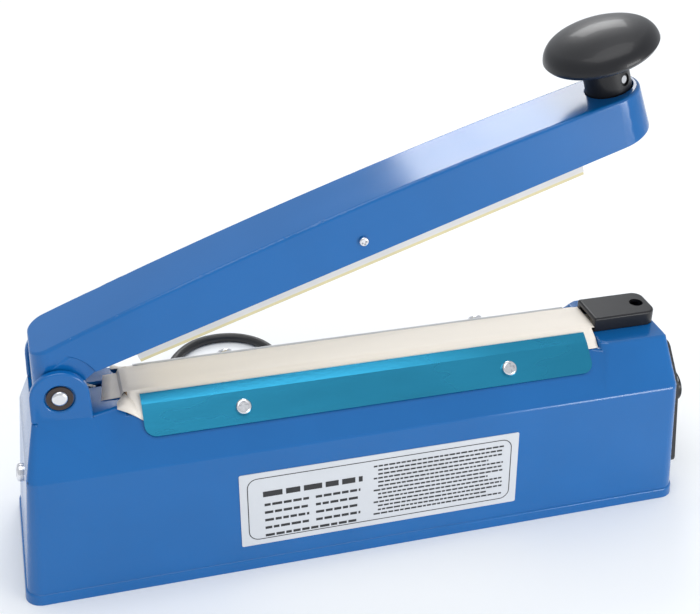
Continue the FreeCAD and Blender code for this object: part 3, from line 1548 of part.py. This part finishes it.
# ================================================================ all nodes
front_strip = make_clamp_strip()
nodes = {
    "base_housing": make_base_housing().cut(end_screw_hole()),
    "bottom_plate": make_bottom_plate(),
    "bottom_screws": make_bottom_screws(),
    "name_label": make_name_label(),
    "end_screw": make_end_screw(),
    "jaw_bar": make_jaw_bar(),
    "insulating_tape": make_insulating_tape(),
    "heating_element": make_heating_element(),
    "ptfe_cloth": make_ptfe_cloth(),
    "front_clamp_strip": front_strip,
    "rear_clamp_strip": mirrored(front_strip),
    "clamp_screws": make_clamp_screws(),
    "sprung_element_terminal": make_sprung_terminal(),
    "fixed_element_terminal": make_fixed_terminal(),
    "element_tension_spring": make_tension_spring(),
    "hinge_pin": make_hinge_pin(),
    "retaining_rings": make_retaining_rings(),
    "lift_spring": make_lift_spring(),
    "arm_cover": make_arm_cover(),
    "silicone_holder": make_silicone_holder(),
    "silicone_strip": make_silicone_strip(),
    "holder_bolt": make_holder_bolt(),
    "holder_spacers": make_holder_spacers(),
    "knob_cap": make_knob_cap(),
    "knob_neck": make_knob_neck(),
    "cross_pin": make_cross_pin(),
    "trigger_rod": make_trigger_rod(),
    "spring_seat": make_spring_seat(),
    "return_spring": make_return_spring(),
    "switch_guide": make_switch_guide(),
    "microswitch_body": make_microswitch_body(),
    "microswitch_button": make_microswitch_button(),
    "microswitch_bracket": make_microswitch_bracket(),
    "control_panel": make_control_panel(),
    "panel_screws": make_panel_screws(),
    "timer_potentiometer": make_potentiometer(),
    "potentiometer_nut": make_potentiometer_nut(),
    "potentiometer_shaft": make_potentiometer_shaft(),
    "timer_dial": make_dial_knob(),
    "indicator_lamp": make_indicator_lamp(),
    "transformer_core": make_transformer_core(),
    "transformer_bobbin": make_transformer_bobbin(),
    "mains_winding": make_winding(False),
    "heating_winding": make_winding(True),
    "transformer_bracket": make_transformer_bracket(),
    "transformer_screws": make_transformer_screws(),
    "timer_board": make_timer_board(),
    "board_standoffs": make_board_standoffs(),
    "board_screws": make_board_screws(),
    "timer_relay": make_relay(),
    "timer_capacitors": make_capacitors(),
    "strain_relief": make_strain_relief(),
    "power_cord": cord_tube(cord_route, "power_cord"),
    "plug_lead": cord_tube(tail_route, "plug_lead"),
    "cord_coil": make_cord_coil(),
    "cord_tie": make_cord_tie(),
    "plug_body": make_plug_body(),
    "plug_pins": make_plug_pins(),
}

os.makedirs("parts", exist_ok=True)
for name, shape in nodes.items():
    if not shape.isValid():
        print("INVALID", name)
    shape.exportStep("parts/" + name + ".step")
print(len(nodes), "nodes")
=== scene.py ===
"""Looks of the impulse heat sealer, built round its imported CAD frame."""
import json
import math
import bmesh
import bpy
from mathutils import Matrix, Vector, noise


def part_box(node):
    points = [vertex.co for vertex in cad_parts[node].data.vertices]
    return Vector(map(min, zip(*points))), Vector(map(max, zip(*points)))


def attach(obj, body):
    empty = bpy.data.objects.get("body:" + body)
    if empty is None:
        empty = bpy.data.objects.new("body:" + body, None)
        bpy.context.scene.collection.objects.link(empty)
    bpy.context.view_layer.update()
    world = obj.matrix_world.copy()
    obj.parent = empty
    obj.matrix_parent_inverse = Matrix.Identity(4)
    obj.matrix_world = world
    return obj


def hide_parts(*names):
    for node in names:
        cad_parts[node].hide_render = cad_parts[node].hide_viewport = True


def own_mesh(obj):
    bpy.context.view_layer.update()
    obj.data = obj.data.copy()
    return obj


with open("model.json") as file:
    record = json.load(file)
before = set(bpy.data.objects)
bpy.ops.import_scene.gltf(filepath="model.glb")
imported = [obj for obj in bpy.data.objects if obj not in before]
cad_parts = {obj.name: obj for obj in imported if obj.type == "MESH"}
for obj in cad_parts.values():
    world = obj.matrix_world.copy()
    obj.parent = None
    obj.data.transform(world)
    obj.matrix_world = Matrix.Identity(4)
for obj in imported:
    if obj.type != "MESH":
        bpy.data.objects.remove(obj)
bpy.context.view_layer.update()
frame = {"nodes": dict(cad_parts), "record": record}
NODES = frame["nodes"]
MM = 0.001


def mm(*values):
    """A vector given in millimetres."""
    return Vector(values) * MM


# ================================================================ camera
CAMERA_AT = mm(-125.99, -448.45, 372.63)
CAMERA_YAW = math.radians(-15.536)
CAMERA_PITCH = math.radians(-30.024)
CAMERA_ROLL = math.radians(0.635)
CAMERA_LENS = 64.09
CAMERA_SENSOR = 36.0
CAMERA_SHIFT = (0.0028, -0.0011)


def make_camera():
    """The camera at the photograph's viewing angle."""
    data = bpy.data.cameras.new("camera")
    data.lens = CAMERA_LENS
    data.sensor_width = CAMERA_SENSOR
    data.shift_x, data.shift_y = CAMERA_SHIFT
    data.clip_start = 0.01
    data.clip_end = 20.0
    camera = bpy.data.objects.new("camera", data)
    bpy.context.scene.collection.objects.link(camera)
    turn = Matrix.Rotation(CAMERA_YAW, 4, "Z") @ Matrix.Rotation(math.pi / 2 + CAMERA_PITCH, 4, "X")
    camera.matrix_world = Matrix.Translation(CAMERA_AT) @ turn @ Matrix.Rotation(CAMERA_ROLL, 4, "Z")
    bpy.context.scene.camera = camera


make_camera()


# ================================================================ materials
def node(tree, kind, inputs=None, **settings):
    """A shader node with its settings, and its inputs given as values or as other nodes' outputs."""
    made = tree.nodes.new(kind)
    for key, value in settings.items():
        setattr(made, key, value)
    for key, value in (inputs or {}).items():
        if isinstance(value, bpy.types.NodeSocket):
            tree.links.new(value, made.inputs[key])
        else:
            made.inputs[key].default_value = value
    return made


MOTTLE_LOW, MOTTLE_HIGH = 0.25, 0.75     # the part of the noise's range that a mottle uses
LEAST_ROUGHNESS = 0.02


def shaded(colour, factor):
    """A colour made darker or lighter."""
    return (*(min(1.0, c * factor) for c in colour[:3]), 1.0)


def surface(name, colour, roughness, mottle=0.05, mottle_scale=40.0, spread=0.05,
            grain_scale=900.0, grain=0.02, stretch=(1, 1, 1), **shader_values):
    """A finish with a slight change of colour and gloss from place to place, and a fine grain."""
    made = bpy.data.materials.new(name)
    made.use_nodes = True
    tree = made.node_tree
    shader = tree.nodes["Principled BSDF"]
    where = node(tree, "ShaderNodeTexCoord").outputs["Object"]
    scaled = node(tree, "ShaderNodeMapping", {"Vector": where, "Scale": stretch}).outputs["Vector"]
    broad = node(tree, "ShaderNodeTexNoise", {"Vector": scaled, "Scale": mottle_scale, "Detail": 4.0})
    fine = node(tree, "ShaderNodeTexNoise", {"Vector": scaled, "Scale": grain_scale, "Detail": 2.0})
    ramp = node(tree, "ShaderNodeValToRGB", {"Fac": broad.outputs["Fac"]})
    ramp.color_ramp.interpolation = "EASE"
    ramp.color_ramp.elements[0].position = MOTTLE_LOW
    ramp.color_ramp.elements[0].color = shaded(colour, 1 - mottle)
    ramp.color_ramp.elements[1].position = MOTTLE_HIGH
    ramp.color_ramp.elements[1].color = shaded(colour, 1 + mottle)
    gloss = node(tree, "ShaderNodeMapRange", {
        "Value": broad.outputs["Fac"], "From Min": MOTTLE_LOW, "From Max": MOTTLE_HIGH,
        "To Min": max(LEAST_ROUGHNESS, roughness - spread), "To Max": min(1.0, roughness + spread)})
    bump = node(tree, "ShaderNodeBump", {
        "Height": fine.outputs["Fac"], "Distance": grain * MM, "Strength": 1.0})
    tree.links.new(ramp.outputs["Color"], shader.inputs["Base Color"])
    tree.links.new(gloss.outputs["Result"], shader.inputs["Roughness"])
    tree.links.new(bump.outputs["Normal"], shader.inputs["Normal"])
    for key, value in shader_values.items():
        shader.inputs[key.replace("_", " ")].default_value = value
    return made


BLUE = surface("blue plastic", (0.002, 0.118, 0.375, 1), 0.17, mottle=0.04, mottle_scale=25, grain_scale=500,
               grain=0.006)
BLACK = surface("black gloss", (0.009, 0.009, 0.011, 1), 0.38, mottle=0.1, grain=0.004,
                Specular_IOR_Level=0.32, Coat_Weight=0.16, Coat_Roughness=0.06)
MATTE = surface("black matte", (0.018, 0.018, 0.02, 1), 0.48, mottle=0.1, grain_scale=1600, grain=0.02)
FOIL = surface("cyan foil", (0.03, 0.27, 0.44, 1), 0.27, mottle=0.06, mottle_scale=35, spread=0.06,
               grain=0.025, stretch=(0.3, 1, 1), Metallic=1.0)
ALUMINIUM = surface("bare aluminium", (0.72, 0.73, 0.74, 1), 0.32, Metallic=1.0, stretch=(1, 20, 20))
CHROME = surface("bright steel", (0.75, 0.75, 0.77, 1), 0.18, Metallic=1.0)
STEEL = surface("spring steel", (0.45, 0.44, 0.42, 1), 0.3, Metallic=1.0)
RING = surface("dark ring", (0.035, 0.02, 0.015, 1), 0.4)
CLOTH = surface("glass cloth", (0.9, 0.83, 0.74, 1), 0.42, mottle=0.07, mottle_scale=30, stretch=(0.15, 1, 1))
HOLDER = surface("holder", (0.72, 0.71, 0.69, 1), 0.4)
SILICONE = surface("silicone", (0.72, 0.63, 0.36, 1), 0.35)
LABEL = surface("label film", (0.62, 0.64, 0.67, 1), 0.3, mottle=0.03)
BRASS = surface("brass", (0.62, 0.45, 0.2, 1), 0.3, Metallic=1.0)
CORE = surface("core steel", (0.2, 0.2, 0.21, 1), 0.5, Metallic=1.0)
COPPER = surface("winding wire", (0.6, 0.25, 0.1, 1), 0.35, Metallic=1.0)
AMBER = surface("bobbin", (0.75, 0.72, 0.62, 1), 0.4)
GREEN = surface("board", (0.03, 0.16, 0.05, 1), 0.35)
TAN = surface("insulator", (0.5, 0.33, 0.18, 1), 0.5)
PARTBLUE = surface("part blue", (0.03, 0.1, 0.4, 1), 0.35)
LENS = surface("lamp lens", (0.6, 0.02, 0.015, 1), 0.12)
RUBBER = surface("cord rubber", (0.014, 0.014, 0.015, 1), 0.42, mottle=0.1)
PINS = surface("plated pins", (0.7, 0.68, 0.62, 1), 0.22, Metallic=1.0)
INK = surface("label ink", (0.02, 0.02, 0.022, 1), 0.5, mottle=0.15, mottle_scale=300)
PANEL_INK = surface("panel print", (0.75, 0.76, 0.78, 1), 0.45)


def woven(material, pitch, depth):
    """Adds a plain weave to a finish: threads along and across, each a pitch apart in millimetres."""
    tree = material.node_tree
    where = node(tree, "ShaderNodeTexCoord").outputs["Object"]
    scale = 2 * math.pi / (20 * pitch * MM)
    along = node(tree, "ShaderNodeTexWave", {"Vector": where, "Scale": scale}, bands_direction="X")
    across = node(tree, "ShaderNodeTexWave", {"Vector": where, "Scale": scale}, bands_direction="Y")
    threads = node(tree, "ShaderNodeMath", {0: along.outputs["Fac"], 1: across.outputs["Fac"]},
                   operation="MULTIPLY")
    bump = next(made for made in tree.nodes if made.type == "BUMP")
    tree.links.new(threads.outputs["Value"], bump.inputs["Height"])
    bump.inputs["Distance"].default_value = depth * MM


woven(CLOTH, 0.55, 0.03)

SLOT_FINISH = {
    "blue_abs": BLUE, "black_plastic": BLACK, "black_matte": MATTE, "cyan_foil": FOIL,
    "bare_aluminium": ALUMINIUM, "holder_finish": HOLDER, "cloth": CLOTH, "silicone": SILICONE,
    "screw_steel": CHROME, "spring_steel": STEEL, "ring_steel": RING, "label_paper": LABEL,
    "jaw_insulator": TAN, "brass_parts": BRASS, "nichrome": STEEL, "core_steel": CORE,
    "winding_wire": COPPER, "bobbin_plastic": AMBER, "board_green": GREEN, "part_black": MATTE,
    "part_blue": PARTBLUE, "lamp_lens": LENS, "cord_black": RUBBER, "plated_pins": PINS}


def finish_cad_nodes():
    """Gives every CAD node the finish of its material slot."""
    for part in frame["record"]["subparts"]:
        target = NODES[part["node"]]
        target.data.materials.clear()
        target.data.materials.append(SLOT_FINISH[part["material_slot"]])


finish_cad_nodes()


# ================================================================ mesh helpers
def piece(name, mesh, material, body, replaces=(), smooth_below=35.0):
    """A finished piece from a bmesh, riding on a body."""
    bmesh.ops.recalc_face_normals(mesh, faces=mesh.faces)
    data = bpy.data.meshes.new(name)
    mesh.to_mesh(data)
    mesh.free()
    data.shade_smooth()
    data.set_sharp_from_angle(angle=math.radians(smooth_below))
    made = bpy.data.objects.new(name, data)
    bpy.context.scene.collection.objects.link(made)
    data.materials.append(material)
    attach(made, body)
    if replaces:
        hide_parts(*replaces)
    return made


SAME_POINT = 0.003             # vertices this close are one
FLAT_ANGLE = 0.7               # faces this close to flat are one
SHARP_ANGLE = 24.0             # edges sharper than this get rounded
EDGE_SEGMENTS = 3


def softened(name, body, width, slot, keep=lambda at: True):
    """A copy of a CAD piece with its sharp outer edges rounded as a mould leaves them, where keep allows."""
    mesh = bmesh.new()
    mesh.from_mesh(NODES[name].data)
    bmesh.ops.remove_doubles(mesh, verts=mesh.verts, dist=SAME_POINT * MM)
    bmesh.ops.dissolve_limit(mesh, angle_limit=math.radians(FLAT_ANGLE), verts=mesh.verts, edges=mesh.edges)
    edges = [edge for edge in mesh.edges
             if len(edge.link_faces) == 2 and edge.calc_face_angle_signed() > math.radians(SHARP_ANGLE)
             and keep((edge.verts[0].co + edge.verts[1].co) / 2 / MM)]
    bmesh.ops.bevel(mesh, geom=edges, offset=width * MM, offset_type="OFFSET",
                    segments=EDGE_SEGMENTS, profile=0.5, affect="EDGES", clamp_overlap=False)
    made = piece(name + "_moulded", mesh, SLOT_FINISH[slot], body, [name], smooth_below=40.0)
    weighted = made.modifiers.new("flat faces stay flat", "WEIGHTED_NORMAL")
    weighted.keep_sharp = True


HOUSING_SOFT_ABOVE = 4.0       # height from which the housing's edges are rounded
GUIDE_HOLE_REACH = 5.0         # no rounding this near the button, so the guide's hole keeps its size
BUTTON = (Vector(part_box("microswitch_button")[0]) + Vector(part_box("microswitch_button")[1])) / 2 / MM

softened("base_housing", "base", 1.0, "blue_abs", keep=lambda at: at.z > HOUSING_SOFT_ABOVE)
softened("arm_cover", "arm", 0.6, "blue_abs")
softened("switch_guide", "base", 0.6, "black_plastic",
         keep=lambda at: math.hypot(at.x - BUTTON.x, at.y - BUTTON.y) > GUIDE_HOLE_REACH)
softened("plug_body", "base", 0.8, "cord_black")


def make_return_spring():
    """The knob's spring, copied with a mesh of its own and riding on the arm."""
    mesh = bmesh.new()
    mesh.from_mesh(NODES["return_spring"].data)
    made = piece("return_spring_coil", mesh, STEEL, "arm", ["return_spring"])
    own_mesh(made)


make_return_spring()


# ================================================================ cloth over the jaw
CLOTH_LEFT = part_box("insulating_tape")[0][0] / MM + 0.5
CLOTH_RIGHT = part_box("insulating_tape")[1][0] / MM
STRIP_LEFT, STRIP_RIGHT = (corner[0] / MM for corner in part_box("front_clamp_strip"))
HALF_SECTION = [(-24.55, 70.03), (-15.72, 78.14), (-9.48, 81.92), (-6.6, 82.42), (0.0, 82.46)]
CLOTH_THICKNESS = 0.16
CLOTH_COLUMNS = 130
SLOPE_ROWS = 12                # up each slope
FLAT_ROWS = 4                  # on each flat above it
RIGHT_HEM = 0.74               # how far up its slope the hem is past the strips, as a share
LEFT_HEM = 0.48
LEFT_HEM_RISE = 0.055          # and how much further for each millimetre
HIGHEST_HEM = 0.9
TOP_HALF_WIDTH = 7.0           # the cloth lies flat on the tape this far from the middle
TOP_SLACK = 0.05               # how far creases lift it there, and on the slopes
SLOPE_SLACK = 0.16
TOP_SINK = 0.03
FLAP_HALF_WIDTH = 9.6
FLAP_EDGE = (1.6, 82.0)        # reach past the bar's end, and height, where the end turns down
FLAP_REST = ((2.6, 0.62), (5.5, 0.42), (9.5, 0.32))     # reach, and height over the block it lies on
FLAP_FOLD = 5.0                # reach past which the hinge end's flap lies askew
FLAP_RIPPLE = 0.12
HINGE_FLAP = (1.0, 0.12)       # each flap's width, as a share, and how far askew it lies
KNOB_FLAP = (0.66, 0.0)


def cloth_start(x):
    """How far up its slope the hem is at x: higher past the ends of the clamp strips."""
    if x > STRIP_RIGHT:
        return RIGHT_HEM
    if x >= STRIP_LEFT:
        return 0.0
    return min(LEFT_HEM + LEFT_HEM_RISE * (STRIP_LEFT - x), HIGHEST_HEM)


def cloth_line(start):
    """The section's points from a share of its front slope, over the bar, to the same on the rear."""
    (y0, z0), (y1, z1) = HALF_SECTION[:2]
    shares = [start + (1 - start) * k / SLOPE_ROWS for k in range(SLOPE_ROWS)]
    front = [(y0 + (y1 - y0) * share, z0 + (z1 - z0) * share) for share in shares]
    for (ya, za), (yb, zb) in zip(HALF_SECTION[1:], HALF_SECTION[2:]):
        steps = [k / FLAT_ROWS for k in range(FLAT_ROWS)]
        front += [(ya + (yb - ya) * share, za + (zb - za) * share) for share in steps]
    return front + [HALF_SECTION[-1]] + [(-y, z) for y, z in reversed(front)]


def crease(x, y):
    """The creases' height, from -1 to 1: long ones along the jaw with shorter ones over them."""
    long_ones = noise.noise(Vector((x / 26, y / 2.4, 3.0)))
    short_ones = noise.noise(Vector((x / 7, y / 5, 9.0)))
    return long_ones + 0.5 * short_ones


def end_gain(x):
    """How much deeper the creases are near the ends, where the cloth is bunched."""
    return 1.0 + 2.0 * math.exp(-abs(x - STRIP_LEFT) / 9) + 1.5 * math.exp(-abs(x - CLOTH_RIGHT) / 7)


def cloth_column(x):
    """One line of the cloth's points at x, with its creases."""
    line = []
    for y, z in cloth_line(cloth_start(x)):
        if abs(y) > TOP_HALF_WIDTH:
            lift = SLOPE_SLACK * end_gain(x) * crease(x, y)
        else:
            lift = TOP_SLACK * crease(x, y) - TOP_SINK
        side = -1 if y < 0 else 1
        line.append(mm(x, y + side * lift * 0.5, z + lift))
    return line


def turn_down(mesh, column, side, block_top):
    """The cloth's end beyond the bar, turned down on to the end block."""
    level = [vert for vert in column if abs(vert.co.y) < FLAP_HALF_WIDTH * MM]
    end = column[0].co.x / MM
    narrow, skew = HINGE_FLAP if side < 0 else KNOB_FLAP
    edge_reach, edge_height = FLAP_EDGE
    rows = [[mm(end + side * edge_reach, vert.co.y / MM, min(vert.co.z / MM, edge_height)) for vert in level]]
    for reach, height in FLAP_REST:
        row = []
        for vert in level:
            across = vert.co.y / MM
            ripple = FLAP_RIPPLE * noise.noise(Vector((reach / 3, across / 3, 5.0)))
            along = end + side * reach + (skew * across if reach > FLAP_FOLD else 0.0)
            row.append(mm(along, across * narrow, block_top + height + ripple))
        rows.append(row)
    previous = level
    for row in rows:
        verts = [mesh.verts.new(point) for point in row]
        for k in range(len(verts) - 1):
            mesh.faces.new((previous[k], previous[k + 1], verts[k + 1], verts[k]))
        previous = verts


def fold_corner(mesh, side, block_top):
    """A corner at the hinge end, folded in like a parcel's: its outline round a raised middle."""
    corners = [(CLOTH_LEFT - 1.2, side * 9.6, 81.5), (CLOTH_LEFT - 4.6, side * 13.2, block_top + 0.5),
               (CLOTH_LEFT - 5.0, side * 17.6, block_top + 0.35), (CLOTH_LEFT + 1.0, side * 18.6, 76.4),
               (STRIP_LEFT - 0.2, side * 20.6, 74.1), (CLOTH_LEFT + 2.0, side * 13.8, 79.6)]
    verts = [mesh.verts.new(mm(*corner)) for corner in corners]
    middle = mesh.verts.new(mm(CLOTH_LEFT - 1.0, side * 14.6, 79.3))
    for a, b in zip(verts, verts[1:] + verts[:1]):
        mesh.faces.new((a, b, middle))


def make_cloth():
    """The coated glass cloth that keeps the bag off the element, turned down and folded at its ends."""
    mesh = bmesh.new()
    span = CLOTH_RIGHT - CLOTH_LEFT
    xs = [CLOTH_LEFT + span * k / CLOTH_COLUMNS for k in range(CLOTH_COLUMNS + 1)]
    columns = [[mesh.verts.new(point) for point in cloth_column(x)] for x in xs]
    for a, b in zip(columns, columns[1:]):
        for k in range(len(a) - 1):
            mesh.faces.new((a[k], a[k + 1], b[k + 1], b[k]))
    block_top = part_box("switch_guide")[0][2] / MM
    turn_down(mesh, columns[0], -1, block_top)
    turn_down(mesh, columns[-1], 1, block_top)
    for side in (-1, 1):
        fold_corner(mesh, side, block_top)
    solid = piece("sealing_cloth", mesh, CLOTH, "base", ["ptfe_cloth"], smooth_below=30.0)
    thick = solid.modifiers.new("thickness", "SOLIDIFY")
    thick.thickness = CLOTH_THICKNESS * MM
    thick.offset = -1.0


make_cloth()


# ================================================================ printing
FRONT_LEAN = (3.0, 60.0)       # how far back the front wall goes, and in what height
RIGHT_LEAN = (6.0, 79.0)       # the same for the end wall
DIAL_HEIGHT = 35               # up the end wall
PRINT_LIFT = 0.06              # the scale's height over the panel
SCALE_START = 240              # the first mark, in degrees
SCALE_SWEEP = 300
TICK_RADIUS = 10.4
LONG_TICK = (12.2, 0.22)       # outer radius and half width
SHORT_TICK = (11.4, 0.13)
NUMBER_RADIUS = 14.4
NUMBER_SIZE = 3.2


def rounded_loop(x0, x1, y0, y1, radius):
    """Points round a rectangle with round corners."""
    loop = []
    for cx, cy, start in ((x1 - radius, y1 - radius, 0), (x0 + radius, y1 - radius, 90),
                          (x0 + radius, y0 + radius, 180), (x1 - radius, y0 + radius, 270)):
        for step in range(7):
            angle = math.radians(start + 15 * step)
            loop.append((cx + radius * math.cos(angle), cy + radius * math.sin(angle)))
    return loop


def make_label_print():
    """A thin frame, a heading and lines of print, all as plain dashes, in the label's own plane."""
    low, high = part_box("name_label")
    left, right = low[0] / MM, high[0] / MM
    rise = (high[2] - low[2]) / MM
    lean = math.atan2(*FRONT_LEAN)
    tall = rise / math.cos(lean)
    mesh = bmesh.new()

    def at(x, up):
        return mm(left + x, low[1] / MM - 0.04 + up * math.sin(lean), low[2] / MM + up * math.cos(lean))

    outer = rounded_loop(3.2, right - left - 3.2, 2.6, tall - 2.6, 4.6)
    inner = rounded_loop(3.6, right - left - 3.6, 3.0, tall - 3.0, 4.2)
    rings = [[mesh.verts.new(at(*point)) for point in loop] for loop in (outer, inner)]
    for k in range(len(outer)):
        following = (k + 1) % len(outer)
        mesh.faces.new((rings[0][k], rings[0][following], rings[1][following], rings[1][k]))

    def dashes(x0, x1, base, height, seed):
        x = x0
        step = 0
        while x < x1 - height * 0.6:
            share = 0.5 + 0.5 * noise.noise(Vector((step * 0.83, seed * 1.7, 0.4)))
            long = min(height * (0.9 + 3.2 * share), x1 - x)
            corners = [(x, base), (x + long, base), (x + long, base + height), (x, base + height)]
            mesh.faces.new([mesh.verts.new(at(*corner)) for corner in corners])
            x += long + height * 0.55
            step += 1

    dashes(10, 54, tall - 12.6, 2.8, 1)
    for row in range(5):
        dashes(10.5, 30 if row < 4 else 52, tall - 17.4 - 4.0 * row, 1.3, row + 2)
        if row < 4:
            dashes(33, 53, tall - 17.4 - 4.0 * row, 1.3, row + 12)
    for row in range(13):
        dashes(61 if row % 3 else 59, 119 - 7 * (row % 4 == 3), tall - 6.4 - 2.1 * row, 0.85, row + 30)
    piece("label_printing", mesh, INK, "base")


def make_panel_print():
    """Tick marks and numbers round the timer dial, on the control panel."""
    lean = math.atan2(*RIGHT_LEAN)
    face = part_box("control_panel")[1][0] / MM
    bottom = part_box("control_panel")[0][2] / MM
    mesh = bmesh.new()

    def at(across, up):
        climb = up * math.cos(lean) + DIAL_HEIGHT - bottom
        return mm(face + PRINT_LIFT - climb * math.sin(lean) / math.cos(lean), across,
                  DIAL_HEIGHT * math.cos(lean) + up * math.cos(lean) + 0.1)

    for step in range(25):
        angle = math.radians(SCALE_START - SCALE_SWEEP / 24 * step)
        inner = TICK_RADIUS
        outer, half = LONG_TICK if step % 3 == 0 else SHORT_TICK
        ray = (math.cos(angle), math.sin(angle))
        side = (-ray[1] * half, ray[0] * half)
        corners = [(ray[0] * inner + side[0], ray[1] * inner + side[1]),
                   (ray[0] * outer + side[0], ray[1] * outer + side[1]),
                   (ray[0] * outer - side[0], ray[1] * outer - side[1]),
                   (ray[0] * inner - side[0], ray[1] * inner - side[1])]
        mesh.faces.new([mesh.verts.new(at(*corner)) for corner in corners])
    for number in range(9):
        angle = math.radians(SCALE_START - SCALE_SWEEP / 8 * number)
        text = bpy.data.curves.new("number", "FONT")
        text.body = str(number)
        text.size = NUMBER_SIZE
        text.align_x = "CENTER"
        text.align_y = "CENTER"
        holder = bpy.data.objects.new("number", text)
        flat = bpy.data.meshes.new_from_object(holder)
        first = len(mesh.verts)
        mesh.from_mesh(flat)
        mesh.verts.ensure_lookup_table()
        for vert in mesh.verts[first:]:
            vert.co = at(vert.co.x + NUMBER_RADIUS * math.cos(angle),
                         vert.co.y + NUMBER_RADIUS * math.sin(angle))
        bpy.data.objects.remove(holder)
        bpy.data.curves.remove(text)
        bpy.data.meshes.remove(flat)
    piece("dial_scale", mesh, PANEL_INK, "base")


make_label_print()
make_panel_print()


# ================================================================ mains lead
CORD_ROUTE = [
    (-75, 62, 16), (-74, 82, 14.5), (-70, 108, 4.2), (-64, 135.6, 2.5),
    (-47.6, 152, 2.5), (-24.4, 152, 2.5), (-8, 135.6, 2.5), (-8, 112, 2.5),
    (-6, 90, 2.5), (1, 70, 2.5), (16, 55, 2.5), (36, 50.3, 2.5)]
TAIL_ROUTE = [(58, 50.5, 12.5), (72, 51.5, 9.5), (84, 54, 7.2), (95, 55.4, 6.85)]
CORD_DIAMETER = 5.0
COIL_CENTRE = (48, 80)
COIL_RADII = (30.0, 25.0)
COIL_LAYERS = 3
TURN_POINTS = 16
STEP_OVER = 0.25               # the last share of each turn, where the cord moves over to the next one


def coil_points():
    """Six turns round the coil's middle, in two columns, from the outer one on the table upwards."""
    points = []
    turns = [(COIL_RADII[(k + layer) % 2], layer) for layer in range(COIL_LAYERS) for k in range(2)]
    for turn, (radius, layer) in enumerate(turns):
        following = turns[min(turn + 1, len(turns) - 1)]
        for step in range(TURN_POINTS):
            share = step / TURN_POINTS
            blend = max(0.0, share - (1 - STEP_OVER)) / STEP_OVER
            reach = radius + (following[0] - radius) * blend
            height = CORD_DIAMETER * (0.5 + layer + (following[1] - layer) * blend)
            angle = -math.pi / 2 + 2 * math.pi * share
            points.append((COIL_CENTRE[0] + reach * math.cos(angle),
                           COIL_CENTRE[1] + reach * math.sin(angle), height))
    return points


def make_cord():
    """The mains lead, from the strain relief through its loop and its coil to the plug."""
    points = CORD_ROUTE + coil_points() + TAIL_ROUTE
    curve = bpy.data.curves.new("mains_lead", "CURVE")
    curve.dimensions = "3D"
    curve.bevel_depth = CORD_DIAMETER / 2 * MM
    curve.bevel_resolution = 4
    curve.resolution_u = 8
    curve.use_fill_caps = True
    spline = curve.splines.new("NURBS")
    spline.points.add(len(points) - 1)
    for place, point in zip(spline.points, points):
        place.co = (*mm(*point), 1.0)
    spline.order_u = 3
    spline.use_endpoint_u = True
    lead = bpy.data.objects.new("mains_lead", curve)
    bpy.context.scene.collection.objects.link(lead)
    curve.materials.append(RUBBER)
    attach(lead, "base")
    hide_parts("power_cord", "cord_coil", "plug_lead")


make_cord()


# ================================================================ floor and light
FLOOR_HALF = 9.0


def make_floor():
    """A plain pale floor."""
    mesh = bmesh.new()
    bmesh.ops.create_grid(mesh, x_segments=2, y_segments=2, size=FLOOR_HALF)
    data = bpy.data.meshes.new("floor")
    mesh.to_mesh(data)
    floor = bpy.data.objects.new("floor", data)
    bpy.context.scene.collection.objects.link(floor)
    data.materials.append(surface("floor paper", (0.93, 0.94, 0.945, 1), 0.75, mottle=0.01, mottle_scale=3,
                                  grain=0.0))


def area_light(name, at, target, size, power):
    """A soft box in metres and watts, turned to a target."""
    data = bpy.data.lights.new(name, "AREA")
    data.shape = "RECTANGLE"
    data.size, data.size_y = size
    data.energy = power
    light = bpy.data.objects.new(name, data)
    light.visible_camera = False
    bpy.context.scene.collection.objects.link(light)
    facing = (Vector(target) - Vector(at)).to_track_quat("-Z", "Y")
    light.matrix_world = Matrix.Translation(Vector(at)) @ facing.to_matrix().to_4x4()


def make_world():
    """An even, slightly cool studio light from all round."""
    world = bpy.data.worlds.new("studio")
    world.use_nodes = True
    bpy.context.scene.world = world
    back = world.node_tree.nodes["Background"]
    back.inputs["Color"].default_value = (0.93, 0.96, 1.0, 1)
    back.inputs["Strength"].default_value = 0.72


make_floor()
make_world()
area_light("top", (-0.14, -0.08, 1.4), (-0.14, -0.08, 0), (1.2, 0.95), 7.0)
area_light("side", (0.75, -0.95, 0.22), (0.1, 0, 0.05), (0.6, 0.3), 5.5)
area_light("back", (0.42, 1.6, 1.28), (0, 0, 0.1), (0.9, 0.6), 10.0)
bpy.context.scene.view_settings.view_transform = "Standard"
